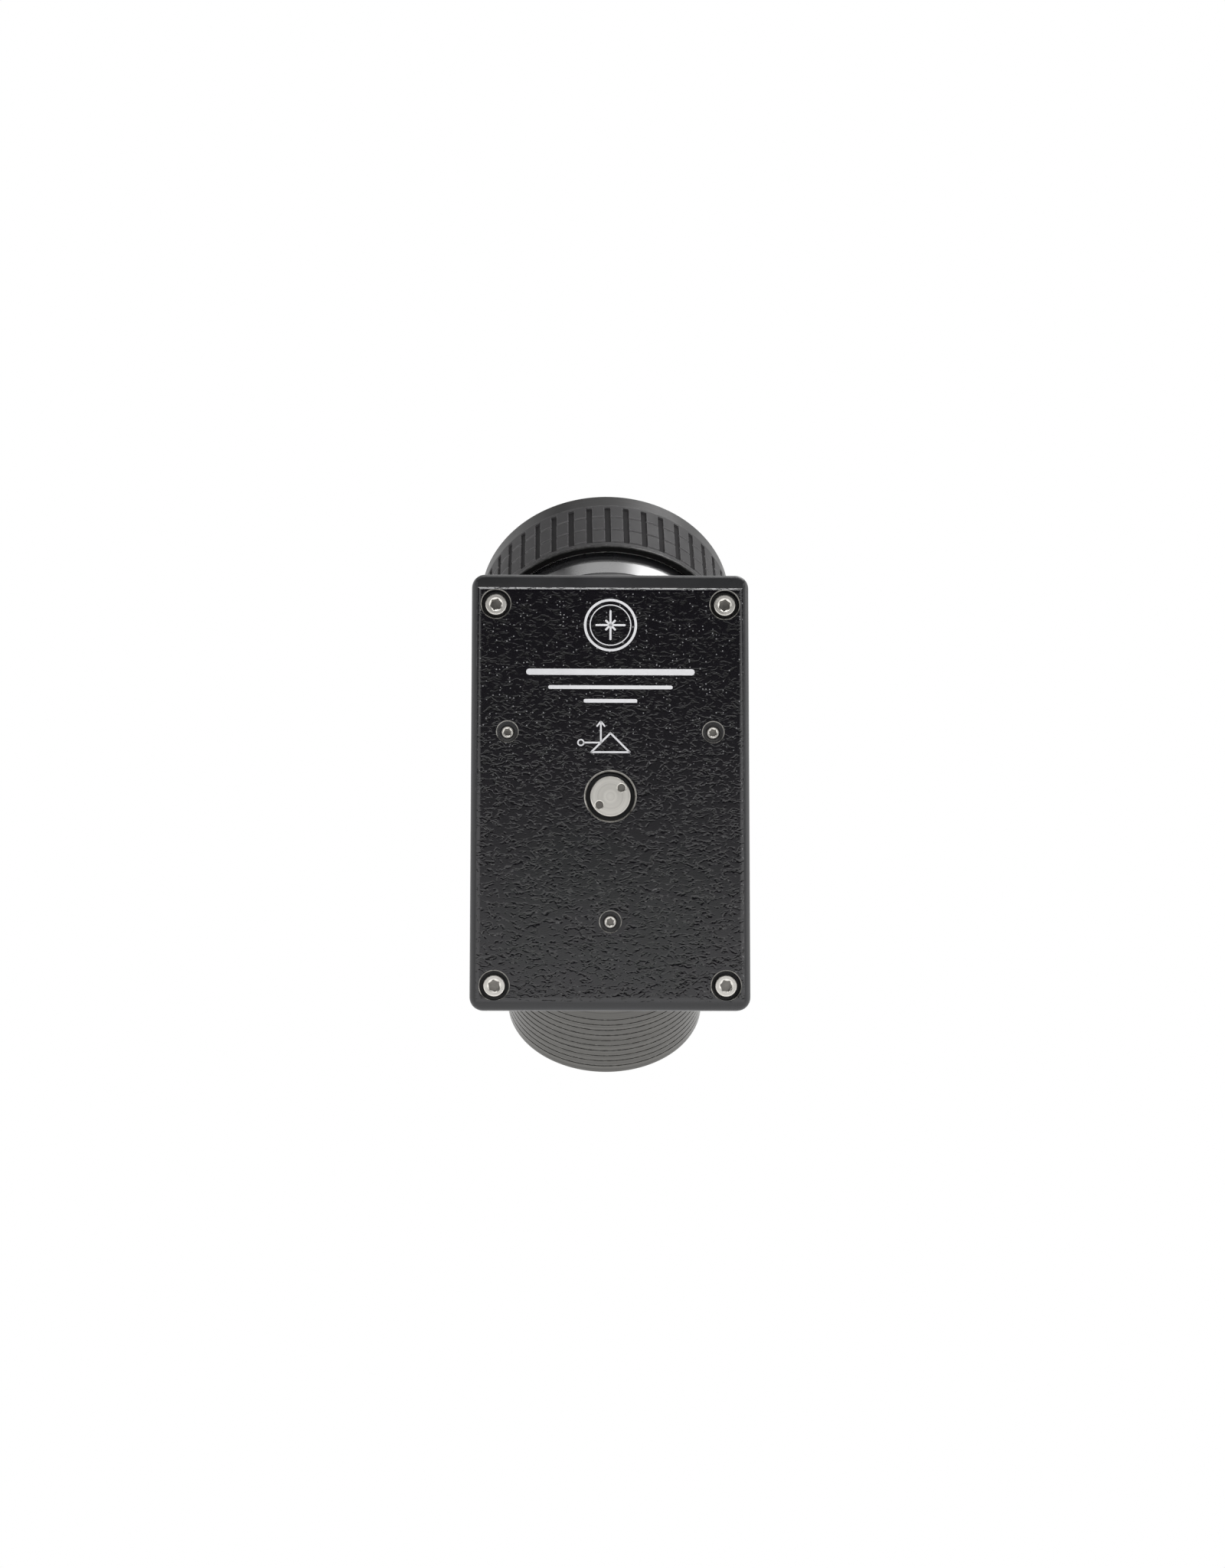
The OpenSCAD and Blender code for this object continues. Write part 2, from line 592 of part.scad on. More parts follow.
module cheek() cover_axis() difference() {
  top = carrier_out - 0.3;
  translate([cheek_u, 0, 0]) rotate([90, 0, 90]) linear_extrude(cheek_t) difference() {
    polygon(concat([[-cheek_half, -cheek_rim], [-cheek_half, carrier_in]],
      [for (v = cheek_tabs) each [[v - tab_half, carrier_in], [v - tab_half, top],
        [v + tab_half, top], [v + tab_half, carrier_in]]],
      [[cheek_half, carrier_in], [cheek_half, -cheek_rim],
        [cheek_nose, cheek_nose - cheek_rim - cheek_half],
        [-cheek_nose, cheek_nose - cheek_rim - cheek_half]]));
    for (v = [-cheek_hole_v, cheek_hole_v]) translate([v, cheek_hole_n])
      circle(cheek_hole_r);
  }
  for (v = cheek_tabs) translate([0, v, 0]) across(cheek_u - eps, tab_n)
    cylinder(h = cheek_t + 2 * eps, r = m2_r + bed_gap);
}
module cheek_right() color(c_body) cheek();
module cheek_left() color(c_body) mirror([1, 0, 0]) cheek();
module prism_pads() color(c_cork) cover_axis() for (s = [0, 180]) rotate([0, 0, s])
  across(prism_w / 2, pad_n) cylinder(h = pad_t, r = pad_r);
module cheek_screws() color(c_steel) cover_axis() for (s = [0, 180], v = cheek_tabs)
  rotate([0, 0, s]) translate([0, s > 0 ? -v : v, 0]) across(cheek_u + cheek_t, tab_n)
    cap_screw(m2_r, cheek_screw_len, m2_head_r, m2_head_h, hex_tiny);

housing();
cover_gasket();
cover_plate();
cover_screws();
nosepiece();
nose_grubs();
nose_baffle();
socket_base();
port_grubs();
glide_ring();
stop_pin();
retaining_ring();
clamp_ring();
rubber_grip();
jaw_1();
jaw_2();
jaw_3();
jaw_pin_1();
jaw_pin_2();
jaw_pin_3();
adj_tip_1();
adj_tip_2();
adj_tip_3();
adj_screw_1();
adj_screw_2();
adj_screw_3();
spring_lower();
spring_upper();
prism_carrier();
contact_pads();
prism_gasket();
prism();
cheek_left();
cheek_right();
prism_pads();
cheek_screws();
thrust_washer();
pull_screw();
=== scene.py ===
from math import cos, pi, radians, sin

import bmesh
import bpy
from mathutils import Matrix, Vector


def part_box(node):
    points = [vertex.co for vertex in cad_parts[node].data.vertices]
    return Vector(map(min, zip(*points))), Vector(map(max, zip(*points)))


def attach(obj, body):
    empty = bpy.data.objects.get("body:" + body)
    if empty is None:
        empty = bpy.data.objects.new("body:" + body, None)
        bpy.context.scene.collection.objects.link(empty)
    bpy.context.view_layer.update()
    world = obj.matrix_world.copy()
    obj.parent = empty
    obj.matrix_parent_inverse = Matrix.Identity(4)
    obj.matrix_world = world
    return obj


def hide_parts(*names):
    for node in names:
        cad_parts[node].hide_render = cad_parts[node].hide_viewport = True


# %% [markdown]
# # An adjustable star diagonal
# A star diagonal turns the light of a telescope through a right angle with a
# prism, so that its user can look in from above. The frame gives each of its
# parts in metres, at its true place. This lesson gives those parts rounded
# edges, real screws, a moulded grip and their finishes.

# %% The frame
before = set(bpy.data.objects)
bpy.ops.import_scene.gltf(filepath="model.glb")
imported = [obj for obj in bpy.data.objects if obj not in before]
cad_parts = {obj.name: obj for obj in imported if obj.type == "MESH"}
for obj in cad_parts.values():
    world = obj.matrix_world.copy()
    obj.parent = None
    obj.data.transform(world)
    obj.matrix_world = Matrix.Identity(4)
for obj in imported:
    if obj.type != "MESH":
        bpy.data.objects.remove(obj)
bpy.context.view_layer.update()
mm = 0.001

# %% [markdown]
# ## Where things are
# Three directions matter: along the nosepiece, along the eyepiece socket, and
# square to the cover, which leans at 45 degrees. A part is easiest to shape
# upright at the origin, so each direction gets a matrix that carries an
# upright shape to its place. The axes cross below the middle of the socket.

# %% Axes of the three directions
socket_low, socket_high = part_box("socket_base")
crossing = Vector((0, (socket_low.y + socket_high.y) / 2, 0))
to_crossing = Matrix.Translation(crossing)
SOCKET = to_crossing
NOSE = to_crossing @ Matrix.Rotation(radians(-90), 4, "X")
COVER = to_crossing @ Matrix.Rotation(radians(135), 4, "X")


def span(part, place):
    """Lowest and highest corner of a part, measured along a place's own axes."""
    back = place.inverted()
    points = [back @ v.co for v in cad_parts[part].data.vertices]
    return (Vector([min(p[i] for p in points) for i in range(3)]),
            Vector([max(p[i] for p in points) for i in range(3)]))


plate_low, plate_high = span("cover_plate", COVER)
print("cover from", [round(v / mm, 2) for v in plate_low],
      "to", [round(v / mm, 2) for v in plate_high], "mm")

# %% [markdown]
# ## Working by hand, in code
# An operator acts on whatever is selected, so every step starts from nothing
# selected. Faces and edges are then picked by where they are or which way
# they face, as a maker would pick them with the mouse.

# %% Selecting
def pick_none():
    if bpy.context.object and bpy.context.object.mode != "OBJECT":
        bpy.ops.object.mode_set(mode="OBJECT")
    bpy.ops.object.select_all(action="DESELECT")


def work_on(piece):
    pick_none()
    piece.select_set(True)
    bpy.context.view_layer.objects.active = piece


def pick(piece, kind, test):
    """Opens a piece for editing and selects what passes a test."""
    work_on(piece)
    bpy.ops.object.mode_set(mode="EDIT")
    bpy.ops.mesh.select_mode(type=kind)
    bpy.ops.mesh.select_all(action="DESELECT")
    mesh = bmesh.from_edit_mesh(piece.data)
    found = {"VERT": mesh.verts, "EDGE": mesh.edges, "FACE": mesh.faces}[kind]
    count = 0
    for item in found:
        if test(item):
            item.select_set(True)
            count += 1
    bmesh.update_edit_mesh(piece.data)
    return count


def close(piece):
    bpy.ops.object.mode_set(mode="OBJECT")
    return piece


# %% [markdown]
# Most parts here are turned on a lathe, and Spin is Blender's lathe: one
# point is drawn out into half the part's outline, and the outline is spun
# round the axis. A cut is a Boolean modifier, applied at once. Soft edges are
# a narrow Bevel, because no machined edge is perfectly sharp, and Weighted
# Normal keeps the flats flat beside them.

# %% Turning, cutting and softening
def set_down(piece, place):
    """Puts an upright piece in its place and leaves its object at the origin."""
    piece.matrix_world = place
    work_on(piece)
    bpy.ops.object.transform_apply(location=True, rotation=True, scale=True)
    return piece


def turn(name, outline, steps=96, whole=True):
    """Spins an outline of (radius, height) points round the upright axis."""
    pick_none()
    bpy.ops.mesh.primitive_plane_add(size=mm, location=(0, 0, 0))
    piece = bpy.context.object
    piece.name = name
    bpy.ops.object.mode_set(mode="EDIT")
    bpy.ops.mesh.select_mode(type="VERT")
    bpy.ops.mesh.select_all(action="SELECT")
    bpy.ops.mesh.merge(type="CENTER")
    bpy.ops.transform.translate(value=(outline[0][0], 0, outline[0][1]))
    stops = outline[1:] + outline[:1] if whole else outline[1:]
    for (r0, h0), (r1, h1) in zip(outline, stops):
        bpy.ops.mesh.extrude_region_move(
            TRANSFORM_OT_translate={"value": (r1 - r0, 0, h1 - h0)})
    bpy.ops.mesh.select_all(action="SELECT")
    bpy.ops.mesh.remove_doubles(threshold=0.002 * mm)
    bpy.ops.mesh.spin(steps=steps, angle=2 * pi, center=(0, 0, 0), axis=(0, 0, 1))
    bpy.ops.mesh.select_all(action="SELECT")
    bpy.ops.mesh.remove_doubles(threshold=0.002 * mm)
    bpy.ops.mesh.normals_make_consistent(inside=False)
    return close(piece)


def cut(piece, *cutters):
    for cutter in cutters:
        knife = piece.modifiers.new("cut", "BOOLEAN")
        knife.operation, knife.solver, knife.object = "DIFFERENCE", "EXACT", cutter
        work_on(piece)
        bpy.ops.object.modifier_apply(modifier=knife.name)
        bpy.data.objects.remove(cutter)
    bpy.ops.object.mode_set(mode="EDIT")
    bpy.ops.mesh.select_all(action="SELECT")
    bpy.ops.mesh.dissolve_limited(angle_limit=radians(0.5))
    return close(piece)


def soften(piece, width, angle=35, segments=2):
    """Rounds the edges sharper than an angle and shades the piece smooth."""
    work_on(piece)
    if width:
        round_off = piece.modifiers.new("round off", "BEVEL")
        round_off.width, round_off.segments = width, segments
        round_off.limit_method, round_off.angle_limit = "ANGLE", radians(angle)
        bpy.ops.object.modifier_apply(modifier=round_off.name)
    bpy.ops.object.shade_smooth_by_angle(angle=radians(angle))
    even = piece.modifiers.new("even", "WEIGHTED_NORMAL")
    even.keep_sharp = True
    bpy.ops.object.modifier_apply(modifier=even.name)
    return piece


def welded(part, name):
    """A part's own shape as a new piece, its loose triangles joined up."""
    piece = bpy.data.objects.new(name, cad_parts[part].data.copy())
    bpy.context.scene.collection.objects.link(piece)
    work_on(piece)
    bpy.ops.object.mode_set(mode="EDIT")
    bpy.ops.mesh.select_mode(type="VERT")
    bpy.ops.mesh.select_all(action="SELECT")
    bpy.ops.mesh.customdata_custom_splitnormals_clear()
    bpy.ops.mesh.remove_doubles(threshold=0.005 * mm)
    bpy.ops.mesh.dissolve_limited(angle_limit=radians(0.5))
    bpy.ops.mesh.normals_make_consistent(inside=False)
    return close(piece)


def fit(piece, body, slot, finish, *parts):
    """Hangs a piece on its body, in place of the parts that it stands for."""
    if finish:
        piece.data.materials.clear()
        piece.data.materials.append(finish)
    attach(piece, body)
    if parts:
        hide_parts(*parts)
    print(piece.name, "-", len(piece.data.polygons), "faces on", body)
    return piece


# %% [markdown]
# ## Building materials from nodes
# A material is a small graph of nodes. A few helpers keep the graphs short.
# They add a node and plug it in, do one sum, start a shared effect, start a
# material whose pattern is measured in metres on the piece itself, and turn
# that pattern to a part's own axis.

# %% Node helpers
def add(tree, kind, inputs=None, **settings):
    made = tree.nodes.new(kind)
    for key, value in settings.items():
        setattr(made, key, value)
    for key, value in (inputs or {}).items():
        if isinstance(value, bpy.types.NodeSocket):
            tree.links.new(value, made.inputs[key])
        else:
            made.inputs[key].default_value = value
    return made


def maths(tree, operation, *values):
    return add(tree, "ShaderNodeMath", dict(enumerate(values)),
               operation=operation).outputs["Value"]


def start_group(name, inputs, outputs):
    """A shared effect: its sockets, and the nodes at its two ends."""
    tree = bpy.data.node_groups.new(name, "ShaderNodeTree")
    for label, kind, value in inputs:
        socket = tree.interface.new_socket(
            name=label, in_out="INPUT", socket_type="NodeSocket" + kind)
        if value is not None:
            socket.default_value = value
    for label, kind in outputs:
        tree.interface.new_socket(
            name=label, in_out="OUTPUT", socket_type="NodeSocket" + kind)
    return tree, tree.nodes.new("NodeGroupInput"), tree.nodes.new("NodeGroupOutput")


def start_material(name, rough=0.5, metallic=0.0, **sockets):
    finish = bpy.data.materials.new(name)
    finish.use_nodes = True
    tree = finish.node_tree
    shader = tree.nodes["Principled BSDF"]
    shader.inputs["Roughness"].default_value = rough
    shader.inputs["Metallic"].default_value = metallic
    for key, value in sockets.items():
        shader.inputs[key.replace("_", " ")].default_value = value
    place = add(tree, "ShaderNodeTexCoord").outputs["Object"]
    return finish, tree, shader, place


def on_axis(tree, place, axis):
    """Object coordinates turned so that a part's own axis is upright."""
    back = axis.inverted()
    return add(tree, "ShaderNodeMapping", {
        "Vector": place, "Location": back.to_translation(),
        "Rotation": back.to_euler()}).outputs["Vector"]


# %% [markdown]
# ## Shared effects
# **Grain** is the even, fine roughness of anodising, moulding and blasting:
# one noise at the scale of the grain and one a hundred times larger, which
# lets the finish drift as handling and polishing do.

# %% Grain
grain, g_in, g_out = start_group(
    "grain",
    [("Vector", "Vector", None), ("Scale", "Float", 4000.0), ("Drift", "Float", 40.0)],
    [("Height", "Float"), ("Patches", "Float")])
g_fine = add(grain, "ShaderNodeTexNoise", {
    "Vector": g_in.outputs["Vector"], "Scale": g_in.outputs["Scale"],
    "Detail": 3.0, "Roughness": 0.6})
g_wide = add(grain, "ShaderNodeTexNoise", {
    "Vector": g_in.outputs["Vector"], "Scale": g_in.outputs["Drift"],
    "Detail": 4.0, "Roughness": 0.65, "Distortion": 0.6})
grain.links.new(g_fine.outputs["Fac"], g_out.inputs["Height"])
grain.links.new(g_wide.outputs["Fac"], g_out.inputs["Patches"])
print("grain:", len(grain.nodes), "nodes")

# %% [markdown]
# **Edge wear** finds where a surface turns sharply. The Bevel node gives the
# normal as if the edges were rounder; where it disagrees with the true
# normal there is an edge, and a noise breaks that line up so the wear looks
# handled and not drawn.

# %% Edge wear
wear, w_in, w_out = start_group(
    "edge wear",
    [("Vector", "Vector", None), ("Radius", "Float", 0.3 * mm), ("Broken", "Float", 0.5)],
    [("Mask", "Float")])
w_round = add(wear, "ShaderNodeBevel", {"Radius": w_in.outputs["Radius"]}, samples=4)
w_true = add(wear, "ShaderNodeNewGeometry")
w_agree = add(wear, "ShaderNodeVectorMath", {
    0: w_round.outputs["Normal"], 1: w_true.outputs["Normal"]}, operation="DOT_PRODUCT")
w_edge = add(wear, "ShaderNodeMapRange", {
    "Value": w_agree.outputs["Value"], "From Min": 0.99, "From Max": 0.8,
    "To Min": 0.0, "To Max": 1.0})
w_noise = add(wear, "ShaderNodeTexNoise", {
    "Vector": w_in.outputs["Vector"], "Scale": 900.0, "Detail": 3.0})
w_gaps = add(wear, "ShaderNodeMapRange", {
    "Value": w_noise.outputs["Fac"], "From Min": w_in.outputs["Broken"],
    "From Max": 0.75, "To Min": 0.0, "To Max": 1.0})
w_mask = add(wear, "ShaderNodeMath", {
    0: w_edge.outputs["Result"], 1: w_gaps.outputs["Result"]},
    operation="MULTIPLY", use_clamp=True)
wear.links.new(w_mask.outputs["Value"], w_out.inputs["Mask"])
print("edge wear:", len(wear.nodes), "nodes")

# %% [markdown]
# **Tool marks** are the fine rings that a lathe tool leaves. They depend only
# on the distance from the axis on a faced end, and only on the height along
# a turned tube, so the group takes both and mixes them by a factor. A second,
# slower noise makes some marks lighter than others.

# %% Tool marks
marks, m_in, m_out = start_group(
    "tool marks",
    [("Vector", "Vector", None), ("Pitch", "Float", 0.12 * mm), ("Facing", "Float", 0.0)],
    [("Height", "Float"), ("Streaks", "Float")])
m_xyz = add(marks, "ShaderNodeSeparateXYZ", {"Vector": m_in.outputs["Vector"]})
m_flat = add(marks, "ShaderNodeCombineXYZ",
             {"X": m_xyz.outputs["X"], "Y": m_xyz.outputs["Y"]})
m_radius = add(marks, "ShaderNodeVectorMath", {0: m_flat.outputs["Vector"]},
               operation="LENGTH")
m_along = add(marks, "ShaderNodeMix", {
    "Factor": m_in.outputs["Facing"], "A": m_xyz.outputs["Z"],
    "B": m_radius.outputs["Value"]}, data_type="FLOAT")
m_turns = maths(marks, "DIVIDE", m_along.outputs["Result"], m_in.outputs["Pitch"])
m_line = add(marks, "ShaderNodeTexNoise",
             {"W": m_turns, "Scale": 1.0, "Detail": 2.0}, noise_dimensions="1D")
m_wide = add(marks, "ShaderNodeTexNoise", {
    "W": maths(marks, "MULTIPLY", m_turns, 0.13), "Scale": 1.0, "Detail": 3.0},
    noise_dimensions="1D")
marks.links.new(m_line.outputs["Fac"], m_out.inputs["Height"])
marks.links.new(m_wide.outputs["Fac"], m_out.inputs["Streaks"])
print("tool marks:", len(marks.nodes), "nodes")

# %% [markdown]
# ** Wrinkle coat** is a powder paint that shrinks as it cures and leaves a
# skin of small, worm-like furrows about a millimetre long. The middle value
# of a noise makes the furrows, a second noise breaks them into short lengths,
# and a fine one roughens what lies between. The glints are tiny bright flecks
# painted as highlights: the middles of a few cells of a Voronoi texture.

# %% Wrinkle coat
wrinkle, r_in, r_out = start_group(
    "wrinkle coat",
    [("Vector", "Vector", None), ("Scale", "Float", 1000.0)],
    [("Height", "Float"), ("Ridges", "Float"), ("Sparkle", "Float")])
r_squash = add(wrinkle, "ShaderNodeMapping",
               {"Vector": r_in.outputs["Vector"], "Scale": (0.72, 1.25, 1.0)})
r_big = add(wrinkle, "ShaderNodeTexNoise", {
    "Vector": r_squash.outputs["Vector"], "Scale": r_in.outputs["Scale"],
    "Detail": 1.5, "Roughness": 0.5, "Distortion": 0.7})
r_fold = maths(wrinkle, "ABSOLUTE", maths(wrinkle, "SUBTRACT", r_big.outputs["Fac"], 0.5))
r_line = add(wrinkle, "ShaderNodeMapRange", {
    "Value": r_fold, "From Min": 0.0, "From Max": 0.08, "To Min": 1.0, "To Max": 0.0})
r_other = add(wrinkle, "ShaderNodeTexNoise", {
    "Vector": r_squash.outputs["Vector"], "Scale": 900.0, "Detail": 1.0})
r_gate = add(wrinkle, "ShaderNodeMapRange", {
    "Value": r_other.outputs["Fac"], "From Min": 0.42, "From Max": 0.56,
    "To Min": 0.0, "To Max": 1.0})
r_furrow = maths(wrinkle, "MULTIPLY", r_line.outputs["Result"], r_gate.outputs["Result"])
r_ridge = maths(wrinkle, "SUBTRACT", 1.0, r_furrow)
r_tiny = add(wrinkle, "ShaderNodeTexNoise", {
    "Vector": r_in.outputs["Vector"], "Scale": 4200.0, "Detail": 2.0})
r_height = maths(wrinkle, "MULTIPLY_ADD", r_tiny.outputs["Fac"], 0.05, r_ridge)
wrinkle.links.new(r_height, r_out.inputs["Height"])
wrinkle.links.new(r_ridge, r_out.inputs["Ridges"])

# %% Painted glints
# Painted glints: tiny bright flecks that stand in for light caught by the wrinkles.
r_cells = add(wrinkle, "ShaderNodeTexVoronoi",
              {"Vector": r_in.outputs["Vector"], "Scale": 1250.0})
r_middle = add(wrinkle, "ShaderNodeMapRange", {
    "Value": r_cells.outputs["Distance"], "From Min": 0.24, "From Max": 0.12,
    "To Min": 0.0, "To Max": 1.0})
r_some = add(wrinkle, "ShaderNodeSeparateColor", {"Color": r_cells.outputs["Color"]})
r_few = maths(wrinkle, "GREATER_THAN", r_some.outputs["Red"], 0.68)
wrinkle.links.new(maths(wrinkle, "MULTIPLY", r_middle.outputs["Result"], r_few),
                  r_out.inputs["Sparkle"])
print("wrinkle coat:", len(wrinkle.nodes), "nodes")

# %% [markdown]
# ## Finishes
# The dark metals are all made alike: a base colour that drifts a little, a
# grain or tool marks in the bump, a roughness that varies with them, and
# brighter worn edges. One function builds the grained ones and one the turned
# ones, and each finish gives it its own colours, scales and depths.

# %% Helpers for finishes
def mixed(tree, factor, low, high):
    made = add(tree, "ShaderNodeMix", data_type="RGBA")
    tree.links.new(factor, made.inputs["Factor"])
    for key, colour in (("A", low), ("B", high)):
        socket = [s for s in made.inputs if s.name == key and s.type == "RGBA"][0]
        if isinstance(colour, bpy.types.NodeSocket):
            tree.links.new(colour, socket)
        else:
            socket.default_value = (*colour, 1)
    return [s for s in made.outputs if s.type == "RGBA"][0]


def ranged(tree, value, low, high, start=0.3, end=0.7):
    return add(tree, "ShaderNodeMapRange", {
        "Value": value, "From Min": start, "From Max": end,
        "To Min": low, "To Max": high}).outputs["Result"]


def bumped(tree, shader, height, depth):
    bump = add(tree, "ShaderNodeBump",
               {"Strength": 1.0, "Distance": depth, "Height": height})
    tree.links.new(bump.outputs["Normal"], shader.inputs["Normal"])


def coloured(tree, shader, place, drift, patches, dark, light, worn, rough, edge, broken):
    """Drift from dark to light, worn edges on top, and a varying roughness."""
    edges = add(tree, "ShaderNodeGroup", {
        "Vector": place, "Radius": edge, "Broken": broken}, node_tree=wear)
    body = mixed(tree, ranged(tree, drift, 0, 1), dark, light)
    tree.links.new(mixed(tree, edges.outputs["Mask"], body, worn),
                   shader.inputs["Base Color"])
    tree.links.new(ranged(tree, patches, *rough), shader.inputs["Roughness"])


def grained(name, dark, light, worn, rough, scale=4000.0, depth=0.006 * mm,
            drift=40.0, edge=0.3 * mm, broken=0.45, **sockets):
    """A grained finish that drifts from dark to light and wears at its edges."""
    finish, tree, shader, place = start_material(name, **sockets)
    texture = add(tree, "ShaderNodeGroup", {
        "Vector": place, "Scale": scale, "Drift": drift}, node_tree=grain)
    patches = texture.outputs["Patches"]
    coloured(tree, shader, place, patches, patches, dark, light, worn, rough, edge, broken)
    bumped(tree, shader, texture.outputs["Height"], depth)
    return finish


def turned(name, axis, dark, light, worn, rough, pitch=0.12 * mm, facing=0.0,
           depth=0.004 * mm, edge=0.25 * mm, broken=0.4, **sockets):
    """A lathe-turned finish, its marks running round the axis."""
    finish, tree, shader, place = start_material(name, **sockets)
    rings = add(tree, "ShaderNodeGroup", {
        "Vector": on_axis(tree, place, axis), "Pitch": pitch, "Facing": facing},
        node_tree=marks)
    texture = add(tree, "ShaderNodeGroup", {"Vector": place}, node_tree=grain)
    coloured(tree, shader, place, rings.outputs["Streaks"], texture.outputs["Patches"],
             dark, light, worn, rough, edge, broken)
    both = maths(tree, "MULTIPLY_ADD", texture.outputs["Height"], 0.5,
                 rings.outputs["Height"])
    bumped(tree, shader, both, depth)
    return finish


# %% [markdown]
# The body and the cover's rim are painted black, the neck is glossy, and the
# tube and ring are turned aluminium with a dark anodised skin. A pocket's
# edge gets a lighter, broken and dull metal finish: a painted highlight.
# Inside a screw's hexagon a darker steel is painted shade.

# %% Finishes for metal and paint
# A lighter metal for the pockets' chamfers: a painted highlight.
pocket_edge_highlight = grained("worn bare edge", (0.10, 0.098, 0.09), (0.30, 0.29, 0.27),
                    (0.5, 0.48, 0.45), (0.25, 0.4), drift=600.0, metallic=0.9)
# A darker steel for hexagons and holes: painted shade in recesses.
painted_shade_steel = grained("steel in a recess", (0.16, 0.15, 0.14), (0.26, 0.25, 0.23),
                     (0.7, 0.68, 0.64), (0.25, 0.4), drift=500.0, metallic=1.0)
body_black = grained("body black", (0.008, 0.008, 0.009), (0.013, 0.013, 0.014),
                     (0.05, 0.05, 0.052), (0.34, 0.46), scale=2600.0, depth=0.012 * mm)
rim_black = grained("cover rim black", (0.010, 0.010, 0.011), (0.016, 0.016, 0.018),
                    (0.06, 0.06, 0.063), (0.36, 0.46), scale=5000.0, depth=0.004 * mm)
flat_black = grained("flat black", (0.006, 0.006, 0.006), (0.010, 0.010, 0.010),
                     (0.03, 0.03, 0.03), (0.8, 0.95), scale=3000.0, depth=0.02 * mm)
carrier_black = grained("anodised black", (0.02, 0.02, 0.021), (0.035, 0.035, 0.037),
                        (0.2, 0.2, 0.2), (0.35, 0.5), metallic=0.6)
nose_satin = turned("turned satin grey", NOSE, (0.085, 0.083, 0.079),
                    (0.115, 0.112, 0.106), (0.32, 0.315, 0.3), (0.36, 0.46),
                    pitch=0.1 * mm, depth=0.006 * mm, metallic=0.9)
ring_satin = turned("turned satin ring", SOCKET, (0.014, 0.0135, 0.0135),
                    (0.020, 0.0195, 0.0195), (0.24, 0.235, 0.23), (0.36, 0.48),
                    pitch=0.09 * mm, metallic=0.85)
neck_gloss = turned("gloss black neck", SOCKET, (0.006, 0.006, 0.007),
                    (0.010, 0.010, 0.011), (0.05, 0.05, 0.05), (0.24, 0.32),
                    pitch=0.16 * mm, depth=0.003 * mm, IOR=2.0)
steel = grained("stainless steel", (0.60, 0.58, 0.54), (0.72, 0.70, 0.66),
                (0.85, 0.84, 0.8), (0.30, 0.44), scale=2500.0, drift=300.0,
                depth=0.01 * mm, metallic=1.0)
pin_steel = grained("ground steel", (0.60, 0.60, 0.60), (0.68, 0.68, 0.68),
                    (0.8, 0.8, 0.8), (0.18, 0.28), scale=6000.0, metallic=1.0)
spring_blue = grained("spring steel", (0.36, 0.36, 0.39), (0.46, 0.46, 0.48),
                      (0.7, 0.7, 0.7), (0.3, 0.42), metallic=1.0)
socket_brass = turned("turned brass", SOCKET, (0.66, 0.44, 0.19),
                      (0.78, 0.55, 0.27), (0.9, 0.72, 0.42), (0.24, 0.36),
                      metallic=1.0)
print(len(bpy.data.materials), "materials so far")

# %% [markdown]
# The cover's field has the wrinkle coat. Its furrows are coloured a shade
# darker than the skin between them, which is painted shade, and are duller.
# Pale flecks in the upper half are painted glints that fade out downward,
# and there the paint has flowed flatter, so the furrows are shallower.

# %% Wrinkle paint
wrinkle_black, tree, shader, place = start_material("black wrinkle paint", IOR=1.58)
upright = on_axis(tree, place, COVER)
skin = add(tree, "ShaderNodeGroup", {"Vector": upright, "Scale": 560.0}, node_tree=wrinkle)
ridges = skin.outputs["Ridges"]
along = add(tree, "ShaderNodeSeparateXYZ", {"Vector": upright}).outputs["Y"]
# Pale flecks, strongest at the top: painted glints, not dust.
painted_glints = maths(tree, "MULTIPLY", ranged(tree, along, 0.0, 1.0, -12 * mm, 16 * mm),
             skin.outputs["Sparkle"])
# The furrows get the darker colour: painted shade.
paint = mixed(tree, ridges, (0.0010, 0.0010, 0.0012), (0.0026, 0.0022, 0.0034))
tree.links.new(mixed(tree, painted_glints, paint, (0.26, 0.26, 0.27)), shader.inputs["Base Color"])
tree.links.new(ranged(tree, ridges, 0.26, 0.15, 0.0, 1.0), shader.inputs["Roughness"])
flowed = maths(tree, "MULTIPLY", ranged(tree, along, 1.0, 0.2, -30 * mm, 20 * mm),
               skin.outputs["Height"])
bumped(tree, shader, flowed, 0.09 * mm)
print("wrinkle paint:", len(tree.nodes), "nodes")

# %% [markdown]
# Moulded rubber is dull, with a mould's fine grain, and its raised edges are
# polished lighter by fingers. The walls of its pads that face down are a
# lighter rubber, a painted highlight, and the bottoms of its grooves a darker
# one, painted shade. Cork is granules of several browns pressed together, so
# a Voronoi texture gives each granule its own shade. The glide ring is plain
# white plastic, and the prism is clear glass with a faint green.

# %% Rubber, cork, plastic and glass
grip_rubber = grained("moulded rubber", (0.018, 0.017, 0.018), (0.024, 0.023, 0.024),
                      (0.17, 0.165, 0.17), (0.55, 0.68), scale=3500.0,
                      depth=0.02 * mm, drift=90.0, edge=0.4 * mm, broken=0.2,
                      Specular_IOR_Level=0.25)
# A lighter rubber for walls that face down: a painted highlight.
painted_highlight_rubber = grained("polished rubber edge", (0.09, 0.088, 0.09), (0.14, 0.137, 0.14),
                      (0.2, 0.195, 0.2), (0.4, 0.55), scale=3500.0, depth=0.01 * mm)
